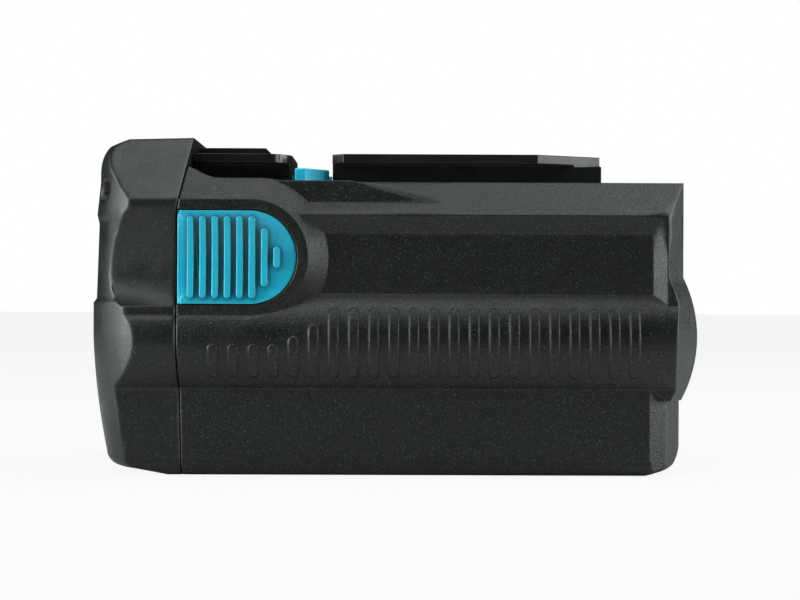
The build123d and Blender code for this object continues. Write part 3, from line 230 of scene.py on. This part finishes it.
class StudioSettings(bpy.types.PropertyGroup):
    """Camera and lamps of the studio."""

    camera_azimuth: bpy.props.FloatProperty(
        name="Camera azimuth", description="How far the camera stands round from the pack's right side",
        subtype="ANGLE", unit="ROTATION", default=radians(-0.27),
    )
    camera_distance: bpy.props.FloatProperty(
        name="Camera distance", description="Distance from the camera to the pack's middle",
        unit="LENGTH", default=0.52,
    )
    camera_height: bpy.props.FloatProperty(
        name="Camera height", description="Height of the camera above the floor",
        unit="LENGTH", default=0.048,
    )
    camera_aside: bpy.props.FloatProperty(
        name="Camera aside", description="How far the camera's axis passes beside the pack's middle",
        unit="LENGTH", default=0.0022,
    )
    camera_roll: bpy.props.FloatProperty(
        name="Camera roll", description="Tilt of the camera about its own axis",
        subtype="ANGLE", unit="ROTATION", default=radians(0.22),
    )
    lens: bpy.props.FloatProperty(
        name="Lens", description="Focal length in millimetres",
        unit="CAMERA", min=10, max=300, default=79.95,
    )
    top_power: bpy.props.FloatProperty(
        name="Top lamp", description="Power of the lamp over the pack",
        unit="POWER", min=0, default=1.25,
    )
    top_right_power: bpy.props.FloatProperty(
        name="Top right lamp", description="Power of the lamp above the nose",
        unit="POWER", min=0, default=3.6,
    )
    high_front_power: bpy.props.FloatProperty(
        name="High front lamp", description="Power of the lamp high in front",
        unit="POWER", min=0, default=1.8,
    )
    front_left_power: bpy.props.FloatProperty(
        name="Front left lamp", description="Power of the lamp in front of the cap",
        unit="POWER", min=0, default=1.6,
    )
    left_power: bpy.props.FloatProperty(
        name="Left lamp", description="Power of the lamp beside the cap",
        unit="POWER", min=0, default=7.3,
    )
    left_back_power: bpy.props.FloatProperty(
        name="Left back lamp", description="Power of the lamp behind the cap",
        unit="POWER", min=0, default=2.2,
    )
    right_front_power: bpy.props.FloatProperty(
        name="Right front lamp", description="Power of the lamp in front of the nose",
        unit="POWER", min=0, default=0.8,
    )
    right_power: bpy.props.FloatProperty(
        name="Right lamp", description="Power of the lamp beside the nose",
        unit="POWER", min=0, default=7.2,
    )
    room_light: bpy.props.FloatProperty(
        name="Room light", description="Strength of the white room on the pack",
        subtype="FACTOR", min=0, max=1, default=0.025,
    )


def add_node(material, kind, **values):
    """A new shader node, with its attributes set by name."""
    node = material.node_tree.nodes.new(kind)
    for name, value in values.items():
        setattr(node, name, value)
    return node


def link(material, source, target):
    """Joins an output socket to an input socket."""
    material.node_tree.links.new(source, target)


def noise(material, scale, detail, roughness=0.5):
    """Noise on the piece's own coordinates; scale is the number of its cells in a metre."""
    place = add_node(material, "ShaderNodeTexCoord")
    texture = add_node(material, "ShaderNodeTexNoise")
    texture.inputs["Scale"].default_value = scale
    texture.inputs["Detail"].default_value = detail
    texture.inputs["Roughness"].default_value = roughness
    link(material, place.outputs["Object"], texture.inputs["Vector"])
    return texture.outputs["Fac"]


def spread(material, value, low, high, from_low=0.3, from_high=0.7):
    """Maps a value, such as the middle part of a noise, to the range from low to high."""
    ramp = add_node(material, "ShaderNodeMapRange")
    ramp.inputs["From Min"].default_value = from_low
    ramp.inputs["From Max"].default_value = from_high
    ramp.inputs["To Min"].default_value = low
    ramp.inputs["To Max"].default_value = high
    link(material, value, ramp.inputs["Value"])
    return ramp.outputs["Result"]


def mixed(material, factor, first, second):
    """A colour between first and second; either may be a socket or three numbers."""
    mix = add_node(material, "ShaderNodeMix", data_type="RGBA")
    link(material, factor, mix.inputs["Factor"])
    for name, colour in (("A", first), ("B", second)):
        socket = next(s for s in mix.inputs if s.name == name and s.type == "RGBA")
        if isinstance(colour, bpy.types.NodeSocket):
            link(material, colour, socket)
        else:
            socket.default_value = (*colour, 1)
    return next(s for s in mix.outputs if s.type == "RGBA")


def patchy(material, colour, patchiness):
    """The colour in soft patches, a little darker and lighter."""
    patches = noise(material, TONE_SCALE, PATCH_DETAIL)
    darker = [part * (1 - patchiness) for part in colour]
    lighter = [part * (1 + patchiness) for part in colour]
    return mixed(material, spread(material, patches, 0, 1), darker, lighter)


def speckled(material, tone, colour, grain_cells, strength):
    """The tone with pale specks, a little coarser than the grain."""
    specks = noise(material, grain_cells * SPECK_COARSENESS, SPECK_DETAIL)
    dots = spread(material, specks, 0, strength, *SPECK_RANGE)
    return mixed(material, dots, tone, [min(1, part * SPECK_PALENESS) for part in colour])


def painted_hollow_shade(material, tone, colour, distance):
    """The tone with painted shade in its hollows, where other faces stand closer than the distance."""
    hollow = add_node(material, "ShaderNodeAmbientOcclusion", samples=PAINTED_SHADE_SAMPLES)
    hollow.inputs["Distance"].default_value = distance
    shade_amount = spread(material, hollow.outputs["AO"], 1, 0, *PAINTED_SHADE_RANGE)
    return mixed(material, shade_amount, tone, [part * PAINTED_SHADE_SHARE for part in colour])


def worn_and_highlit_edges(material, tone, colour, rounded, wear_and_highlight):
    """The tone with paler edges, partly wear and partly painted highlights, where the rounded normal turns
    from the true one.
    """
    shape = add_node(material, "ShaderNodeNewGeometry")
    turn = add_node(material, "ShaderNodeVectorMath", operation="DOT_PRODUCT")
    link(material, rounded, turn.inputs[0])
    link(material, shape.outputs["Normal"], turn.inputs[1])
    paler_edge = spread(material, turn.outputs["Value"], wear_and_highlight, 0, *WEAR_AND_HIGHLIGHT_RANGE)
    return mixed(material, paler_edge, tone, [min(1, part * WEAR_AND_HIGHLIGHT_PALENESS + WEAR_AND_HIGHLIGHT_LIFT) for part in colour])


def soft_radius(material, edge_radius, spots):
    """An edge radius that grows near each spot: its x, its z, its reach and its own radius."""
    radius = None
    place = add_node(material, "ShaderNodeTexCoord")
    flat = add_node(material, "ShaderNodeVectorMath", operation="MULTIPLY")
    flat.inputs[1].default_value = (1, 0, 1)
    link(material, place.outputs["Object"], flat.inputs[0])
    for x, z, reach, own_radius in spots:
        distance = add_node(material, "ShaderNodeVectorMath", operation="DISTANCE")
        distance.inputs[1].default_value = (x, 0, z)
        link(material, flat.outputs["Vector"], distance.inputs[0])
        near = spread(material, distance.outputs["Value"], own_radius, edge_radius, reach * SOFT_CORE, reach)
        if radius:
            larger = add_node(material, "ShaderNodeMath", operation="MAXIMUM")
            link(material, radius, larger.inputs[0])
            link(material, near, larger.inputs[1])
            near = larger.outputs["Value"]
        radius = near
    return radius


def rounded_edges(material, edge_radius, soft_spots):
    """Normals that turn over the edges as on a moulding, and more widely near the soft spots."""
    rounded = add_node(material, "ShaderNodeBevel", samples=EDGE_SAMPLES)
    rounded.inputs["Radius"].default_value = edge_radius
    if soft_spots:
        link(material, soft_radius(material, edge_radius, soft_spots), rounded.inputs["Radius"])
    return rounded.outputs["Normal"]


def finish_material(
    name, colour, roughness, grain_cells, grain_depth, metallic=0.0, patchiness=0.12, speckles=0.0,
    painted_shade_reach=0.0, edge_radius=0.0, edge_wear_and_highlight=0.0, soft_spots=(),
):
    """A plain finish with grain in its bump, soft patches in its colour and gloss, painted shade in hollows
    where asked, and paler edges that are partly wear and partly painted highlights.
    """
    material = bpy.data.materials.new(name)
    material.use_nodes = True
    shader = material.node_tree.nodes["Principled BSDF"]
    shader.inputs["Metallic"].default_value = metallic
    tone = patchy(material, colour, patchiness)
    if speckles:
        tone = speckled(material, tone, colour, grain_cells, speckles)
    # Painted shade: the colour is darkened in hollows, where shadow falls
    if painted_shade_reach:
        tone = painted_hollow_shade(material, tone, colour, painted_shade_reach)
    grain = noise(material, grain_cells, GRAIN_DETAIL, GRAIN_ROUGHNESS)
    bump = add_node(material, "ShaderNodeBump")
    bump.inputs["Strength"].default_value = GRAIN_STRENGTH
    bump.inputs["Distance"].default_value = grain_depth
    link(material, grain, bump.inputs["Height"])
    gloss = noise(material, GLOSS_SCALE, PATCH_DETAIL)
    rough = spread(material, gloss, roughness - GLOSS_GAIN, roughness + GLOSS_LOSS)
    if edge_radius:
        rounded = rounded_edges(material, edge_radius, soft_spots)
        link(material, rounded, bump.inputs["Normal"])
        # Paler edges: wear together with painted edge highlights
        if edge_wear_and_highlight:
            tone = worn_and_highlit_edges(material, tone, colour, rounded, edge_wear_and_highlight)
    link(material, tone, shader.inputs["Base Color"])
    link(material, rough, shader.inputs["Roughness"])
    link(material, bump.outputs["Normal"], shader.inputs["Normal"])
    return material


def repaint(node, material):
    """Gives a carried-over node its material."""
    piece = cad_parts[node]
    if piece.material_slots:
        for slot in piece.material_slots:
            slot.material = material
    else:
        piece.data.materials.append(material)


def parting_x(height):
    """Where the end cap meets the housing, at this height."""
    if height < PARTING_LOW:
        return PARTING_X + PARTING_LEAN_FOOT * (PARTING_LOW - height) / PARTING_LOW
    if height > PARTING_HIGH:
        return PARTING_X + PARTING_LEAN_TOP * (height - PARTING_HIGH) / (PACK_HEIGHT - PARTING_HIGH)
    return PARTING_X


def band_normals(points):
    """The band's own normals at these corners of a face, or nothing for a face that isn't on the band."""
    arms = [Vector((0, abs(point.y) - BAND_AXIS_Y, point.z - BAND_AXIS_Z)) for point in points]
    for radius in BAND_RADII:
        if all(abs(arm.length - radius) < ON_SURFACE and arm.y > 0 for arm in arms):
            outwards = [Vector((0, copysign(arm.y, point.y), arm.z)) for point, arm in zip(points, arms)]
            return [arm.normalized() for arm in outwards]
    return None


def set_true_normals(mesh):
    """Gives flat faces their own normals, lets big faces rule small ones, and keeps the band round."""
    around = [[] for _ in mesh.vertices]
    for face in mesh.polygons:
        for index in face.vertices:
            around[index].append(face.index)
    normals = [Vector(face.normal) for face in mesh.polygons]
    areas = [face.area for face in mesh.polygons]
    least = cos(SMOOTH_ANGLE)
    corner_normals = [None] * len(mesh.loops)
    for face in mesh.polygons:
        own = normals[face.index]
        points = [mesh.vertices[index].co for index in face.vertices]
        on_band = band_normals(points)
        for place, loop in enumerate(face.loop_indices):
            if on_band:
                corner_normals[loop] = on_band[place]
                continue
            total = Vector((0, 0, 0))
            for other in around[face.vertices[place]]:
                if own.dot(normals[other]) > least:
                    total += normals[other] * areas[other]
            corner_normals[loop] = total.normalized() if total.length else own
    mesh.normals_split_custom_set(corner_normals)


def bevel_edges(piece, rounding, segments):
    """Rounds a piece's sharp edges, and shades the faces between them flat."""
    bevel = piece.modifiers.new("Rounded edges", "BEVEL")
    bevel.width = rounding
    bevel.segments = segments
    bevel.limit_method = "ANGLE"
    bevel.angle_limit = BEVEL_ANGLE
    bevel.use_clamp_overlap = True
    bevel.harden_normals = True
    weigh = piece.modifiers.new("Weighted normals", "WEIGHTED_NORMAL")
    weigh.keep_sharp = True


def open_copy(node, name):
    """A copy of a node's mesh under its own name, and that mesh as a bmesh with its points merged."""
    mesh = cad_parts[node].data.copy()
    mesh.name = name
    shape = bmesh.new()
    shape.from_mesh(mesh)
    bmesh.ops.remove_doubles(shape, verts=shape.verts, dist=MERGE_DISTANCE)
    return mesh, shape


def close_copy(mesh, shape, material):
    """Puts a worked bmesh back into its mesh, and makes that a smooth object in one material."""
    for face in shape.faces:
        face.smooth = True
        face.material_index = 0
    shape.to_mesh(mesh)
    shape.free()
    mesh.materials.clear()
    mesh.materials.append(material)
    piece = bpy.data.objects.new(mesh.name, mesh)
    bpy.context.collection.objects.link(piece)
    return piece


def rounded_copy(
    node, name, body, material, rounding=0.0, segments=2, seam_shift=0.0, reshape=None, cut=None,
):
    """A copy of a node with cleaned faces and bevelled edges or true normals, which replaces the node."""
    mesh, shape = open_copy(node, name)
    if cut:
        cut(shape)
    if seam_shift:
        for vert in shape.verts:
            if abs(vert.co.x - parting_x(vert.co.z)) < SEAM_REACH:
                vert.co.x += seam_shift
    if reshape:
        for vert in shape.verts:
            vert.co = reshape(vert.co)
    bmesh.ops.dissolve_limit(shape, angle_limit=FLAT_ANGLE, verts=shape.verts, edges=shape.edges)
    for edge in shape.edges:
        edge.smooth = edge.calc_face_angle(0) < SMOOTH_ANGLE
    piece = close_copy(mesh, shape, material)
    if rounding:
        bevel_edges(piece, rounding, segments)
    else:
        set_true_normals(mesh)
    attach(piece, body)
    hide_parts(node)
    return piece


def in_scoop(point):
    """Whether a point lies on the hollow face of a finger scoop."""
    depth = SCOOP_FRONT_DEPTH + (SCOOP_FRONT_X - point.x) * SCOOP_DEEPENING
    half_height = (SCOOP_HIGH - SCOOP_LOW) / 2
    radius = (half_height ** 2 + depth ** 2) / (2 * depth)
    centre_y = SCOOP_SIDE_Y - depth + radius
    reach = hypot(abs(point.y) - centre_y, point.z - SCOOP_LOW - half_height)
    return SCOOP_LOW < point.z < SCOOP_HIGH and abs(reach - radius) < SCOOP_REACH


def shaped_cap(point):
    """Swells the cap's upper rear corner and lets its finger scoops sag, so that their floors face up."""
    back = CORNER_X - point.x
    up = point.z - CORNER_Z
    if back > 0 and up > 0:
        swell = 1 + CORNER_SWELL * sin(2 * atan2(up, back)) ** 2
        return Vector((CORNER_X - back * swell, point.y, CORNER_Z + up * swell))
    if in_scoop(point):
        share = (point.z - SCOOP_LOW) / (SCOOP_HIGH - SCOOP_LOW)
        return Vector((point.x, point.y, SCOOP_LOW + (SCOOP_HIGH - SCOOP_LOW) * share ** SCOOP_SAG))
    return point


class PACK_OT_housing(bpy.types.Operator):
    """Dress the housing shell and the end cap"""

    bl_idname = "pack.housing"
    bl_label = "Housing and cap"

    def execute(self, context):
        looks = context.scene.pack_plastics
        cells = 1 / looks.grain_size
        # Both mouldings get faint paler edges, partly wear and partly painted highlights
        housing = finish_material(
            "housing_plastic_look", looks.housing_colour, roughness=0.31, grain_cells=cells,
            grain_depth=0.24 * MM, speckles=0.8, edge_radius=looks.edge_radius * 1.6, edge_wear_and_highlight=0.07,
            soft_spots=SOFT_SPOTS,
        )
        cap = finish_material(
            "cap_plastic_look", looks.cap_colour, roughness=0.32, grain_cells=cells * 1.2,
            grain_depth=0.08 * MM, speckles=0.5, edge_radius=looks.edge_radius * 3.6, edge_wear_and_highlight=0.1,
        )
        shell = rounded_copy("housing_shell", "housing_moulding", ROOT_BODY, housing, seam_shift=SEAM_GAP)
        end = rounded_copy(
            "end_cap", "cap_moulding", ROOT_BODY, cap, seam_shift=-SEAM_GAP, reshape=shaped_cap,
        )
        return {"FINISHED"}


def cut_under_flange(shape):
    """Cuts the main rail's tapering sides under the flange, where the web parts from it."""
    for height in (RAIL_LEDGE_Z, RAIL_LEDGE_Z - RAIL_LEDGE_HEIGHT):
        shape.normal_update()
        at_nose = [
            face for face in shape.faces
            if max(vert.co.x for vert in face.verts) > RAIL_NOSE_X - ON_SURFACE
        ]
        sides = [face for face in at_nose if abs(face.normal.z) < RAIL_LEVEL_LIMIT]
        edges = {edge for face in sides for edge in face.edges}
        verts = {vert for face in sides for vert in face.verts}
        bmesh.ops.bisect_plane(
            shape, geom=sides + list(edges) + list(verts), dist=MERGE_DISTANCE,
            plane_co=(0, 0, height), plane_no=UP,
        )


def straight_web(point):
    """Keeps the main rail's web straight to its nose end, under the tapering flange."""
    at_tip = point.x > RAIL_NOSE_X - ON_SURFACE and abs(abs(point.y) - RAIL_TIP_Y) < ON_SURFACE
    if at_tip and point.z < RAIL_LEDGE_Z - RAIL_LEDGE_HEIGHT / 2:
        return Vector((point.x, copysign(RAIL_WEB_Y, point.y), point.z))
    return point


class PACK_OT_rails(bpy.types.Operator):
    """Dress the two rails with rounded, glossy edges that are paler from wear and painted highlights"""

    bl_idname = "pack.rails"
    bl_label = "Rails"

    def execute(self, context):
        looks = context.scene.pack_plastics
        # The rails' paler edges are partly wear and partly painted highlights
        gloss = finish_material(
            "rail_plastic_look", looks.rail_colour, roughness=0.18, grain_cells=900.0,
            grain_depth=0.02 * MM, edge_radius=0.3 * MM, edge_wear_and_highlight=0.15,
        )
        for node, name in (("main_rail", "main_rail_moulding"), ("rear_rail", "rear_rail_moulding")):
            rail = rounded_copy(
                node, name, ROOT_BODY, gloss, rounding=0.3 * MM, reshape=straight_web, cut=cut_under_flange,
            )
        return {"FINISHED"}


def shifted_ribs(point):
    """Moves the ribs of a button towards its tip."""
    reach = hypot(max(0, point.x - BUTTON_ROUND_X), point.z - BUTTON_MIDDLE_Z)
    if abs(point.y) > BUTTON_FACE_Y and point.x > BUTTON_REAR_X and reach < BUTTON_INNER:
        return Vector((point.x + BUTTON_RIB_SHIFT, point.y, point.z))
    return point


class PACK_OT_latches(bpy.types.Operator):
    """Dress the release buttons and the hooks that they move"""

    bl_idname = "pack.latches"
    bl_label = "Buttons and hooks"

    def execute(self, context):
        looks = context.scene.pack_plastics
        # The buttons' blue gets painted shade in its hollows, and bright paler edges that are painted
        # highlights as well as wear
        blue = finish_material(
            "latch_plastic_look", looks.latch_colour, roughness=0.3, grain_cells=1600.0,
            grain_depth=0.03 * MM, patchiness=0.04, painted_shade_reach=2.0 * MM, edge_radius=0.6 * MM, edge_wear_and_highlight=0.6,
        )
        # Painted light: the hooks get a lighter blue than the buttons, as if more brightly lit, and paler
        # edges from wear and painted highlights
        hook_painted_light_blue = finish_material(
            "hook_plastic_look", looks.hook_painted_light_colour, roughness=0.3, grain_cells=1600.0,
            grain_depth=0.03 * MM, patchiness=0.04, edge_radius=0.4 * MM, edge_wear_and_highlight=0.2,
        )
        for side in ("left", "right"):
            body = f"{side}_release_body"
            button = rounded_copy(
                f"release_button_{side}", f"button_moulding_{side}", body, blue,
                rounding=0.35 * MM, segments=3, reshape=shifted_ribs,
            )
            hook = rounded_copy(
                f"latch_slider_{side}", f"hook_moulding_{side}", body, hook_painted_light_blue,
                rounding=0.4 * MM, segments=3,
            )
        return {"FINISHED"}


def squeezed_spring(side, material):
    """A smooth copy of a button's spring, which replaces the node."""
    node = f"button_spring_{side}"
    mesh, shape = open_copy(node, f"spring_coil_{side}")
    piece = close_copy(mesh, shape, material)
    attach(piece, ROOT_BODY)
    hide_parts(node)
    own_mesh(piece)


class PACK_OT_fasteners(bpy.types.Operator):
    """Dress the screws and the springs"""

    bl_idname = "pack.fasteners"
    bl_label = "Screws and springs"

    def execute(self, context):
        zinc = finish_material(
            "screw_steel_look", (0.33, 0.34, 0.36), roughness=0.34, grain_cells=2600.0,
            grain_depth=0.02 * MM, metallic=1.0, edge_radius=0.2 * MM,
        )
        wire = finish_material(
            "spring_steel_look", (0.5, 0.5, 0.5), roughness=0.28, grain_cells=3000.0,
            grain_depth=0.01 * MM, metallic=1.0,
        )
        for node in ("cap_screws", "rail_screws", "board_screws", "frame_screws"):
            repaint(node, zinc)
        for side in ("left", "right"):
            squeezed_spring(side, wire)
        return {"FINISHED"}


class PACK_OT_inside(bpy.types.Operator):
    """Colour everything inside the housing"""

    bl_idname = "pack.inside"
    bl_label = "Inside"

    def execute(self, context):
        for name, (nodes, colour, roughness, cells, depth, metallic) in INSIDE_FINISHES.items():
            finish = finish_material(name, colour, roughness, cells, depth, metallic)
            for node in nodes:
                repaint(node, finish)
        return {"FINISHED"}


def floor_paper():
    """Pale paper that takes shadows, with a white glow that only the camera sees."""
    paper = bpy.data.materials.new("floor_paper")
    paper.use_nodes = True
    tree = paper.node_tree
    shader = tree.nodes["Principled BSDF"]
    shader.inputs["Base Color"].default_value = FLOOR_COLOUR
    shader.inputs["Roughness"].default_value = FLOOR_ROUGHNESS
    glow = add_node(paper, "ShaderNodeEmission")
    glow.inputs["Color"].default_value = WHITE
    rays = add_node(paper, "ShaderNodeLightPath")
    share = add_node(paper, "ShaderNodeMath", operation="MULTIPLY")
    share.inputs[1].default_value = FLOOR_GLOW
    blend = add_node(paper, "ShaderNodeMixShader")
    link(paper, rays.outputs["Is Camera Ray"], share.inputs[0])
    link(paper, share.outputs["Value"], blend.inputs[0])
    link(paper, shader.outputs["BSDF"], blend.inputs[1])
    link(paper, glow.outputs["Emission"], blend.inputs[2])
    link(paper, blend.outputs["Shader"], tree.nodes["Material Output"].inputs["Surface"])
    return paper


def lay_floor(context):
    """Lays a large floor of pale paper."""
    shape = bmesh.new()
    bmesh.ops.create_grid(shape, x_segments=4, y_segments=4, size=FLOOR_REACH)
    mesh = bpy.data.meshes.new("studio_floor")
    shape.to_mesh(mesh)
    shape.free()
    mesh.materials.append(floor_paper())
    floor = bpy.data.objects.new("studio_floor", mesh)
    context.collection.objects.link(floor)


def light_room(context, strength):
    """Surrounds the pack with dim, even light, which the camera sees as white."""
    world = bpy.data.worlds.new("white_room")
    world.use_nodes = True
    context.scene.world = world
    dim = world.node_tree.nodes["Background"]
    dim.inputs["Color"].default_value = WHITE
    dim.inputs["Strength"].default_value = strength
    white = add_node(world, "ShaderNodeBackground")
    white.inputs["Color"].default_value = WHITE
    rays = add_node(world, "ShaderNodeLightPath")
    choose = add_node(world, "ShaderNodeMixShader")
    link(world, rays.outputs["Is Camera Ray"], choose.inputs[0])
    link(world, dim.outputs["Background"], choose.inputs[1])
    link(world, white.outputs["Background"], choose.inputs[2])
    link(world, choose.outputs["Shader"], world.node_tree.nodes["World Output"].inputs["Surface"])


def hang_lamp(name, place, size, power):
    """Hangs a square soft lamp that faces the pack's middle."""
    data = bpy.data.lights.new(name, "AREA")
    data.shape = "SQUARE"
    data.size = size
    data.energy = power
    data.color = LAMP_COLOUR
    lamp = bpy.data.objects.new(name, data)
    lamp.location = place
    lamp.rotation_mode = "QUATERNION"
    lamp.rotation_quaternion = (Vector(LAMP_TARGET) - Vector(place)).to_track_quat("-Z", "Y")
    bpy.context.collection.objects.link(lamp)


def set_camera(context, studio):
    """Stands the camera beside the pack, where the photograph was taken from."""
    data = bpy.data.cameras.new("photo_camera")
    data.lens = studio.lens
    data.sensor_width = SENSOR_WIDTH_MM
    camera = bpy.data.objects.new("photo_camera", data)
    context.collection.objects.link(camera)
    spin = Matrix.Rotation(studio.camera_azimuth, 3, "Z")
    sight = spin @ Vector((0, 1, 0))
    side = spin @ Vector((1, 0, 0))
    on_floor = side * studio.camera_aside - sight * studio.camera_distance
    camera.location = on_floor + UP * studio.camera_height
    camera.rotation_mode = "QUATERNION"
    aim = sight.to_track_quat("-Z", "Y").to_matrix() @ Matrix.Rotation(studio.camera_roll, 3, "Z")
    camera.rotation_quaternion = aim.to_quaternion()
    context.scene.camera = camera


class PACK_OT_stage(bpy.types.Operator):
    """Set the floor, the white room, the lamps and the camera"""

    bl_idname = "pack.stage"
    bl_label = "Stage"

    def execute(self, context):
        studio = context.scene.pack_studio
        lay_floor(context)
        light_room(context, studio.room_light)
        for name, place, size, power in LAMPS:
            hang_lamp(name, place, size, getattr(studio, power))
        set_camera(context, studio)
        context.scene.view_settings.view_transform = "Standard"
        return {"FINISHED"}


class PACK_PT_panel(bpy.types.Panel):
    """Lists the pack's operators in the sidebar"""

    bl_idname = "PACK_PT_panel"
    bl_label = "Battery pack"
    bl_space_type = "VIEW_3D"
    bl_region_type = "UI"
    bl_category = "Battery pack"

    def draw(self, context):
        for operator in OPERATORS:
            self.layout.operator(operator.bl_idname)


OPERATORS = (
    PACK_OT_housing, PACK_OT_rails, PACK_OT_latches, PACK_OT_fasteners, PACK_OT_inside, PACK_OT_stage,
)
CLASSES = (PlasticSettings, StudioSettings) + OPERATORS + (PACK_PT_panel,)


def register():
    """Registers the classes and their settings."""
    for one in CLASSES:
        bpy.utils.register_class(one)
    bpy.types.Scene.pack_plastics = bpy.props.PointerProperty(type=PlasticSettings)
    bpy.types.Scene.pack_studio = bpy.props.PointerProperty(type=StudioSettings)


def unregister():
    """Removes the settings and the classes."""
    del bpy.types.Scene.pack_studio
    del bpy.types.Scene.pack_plastics
    for one in reversed(CLASSES):
        bpy.utils.unregister_class(one)


def main():
    """Dresses the whole pack."""
    register()
    bpy.ops.pack.housing()
    bpy.ops.pack.rails()
    bpy.ops.pack.latches()
    bpy.ops.pack.fasteners()
    bpy.ops.pack.inside()
    bpy.ops.pack.stage()


if __name__ == "__main__":
    main()
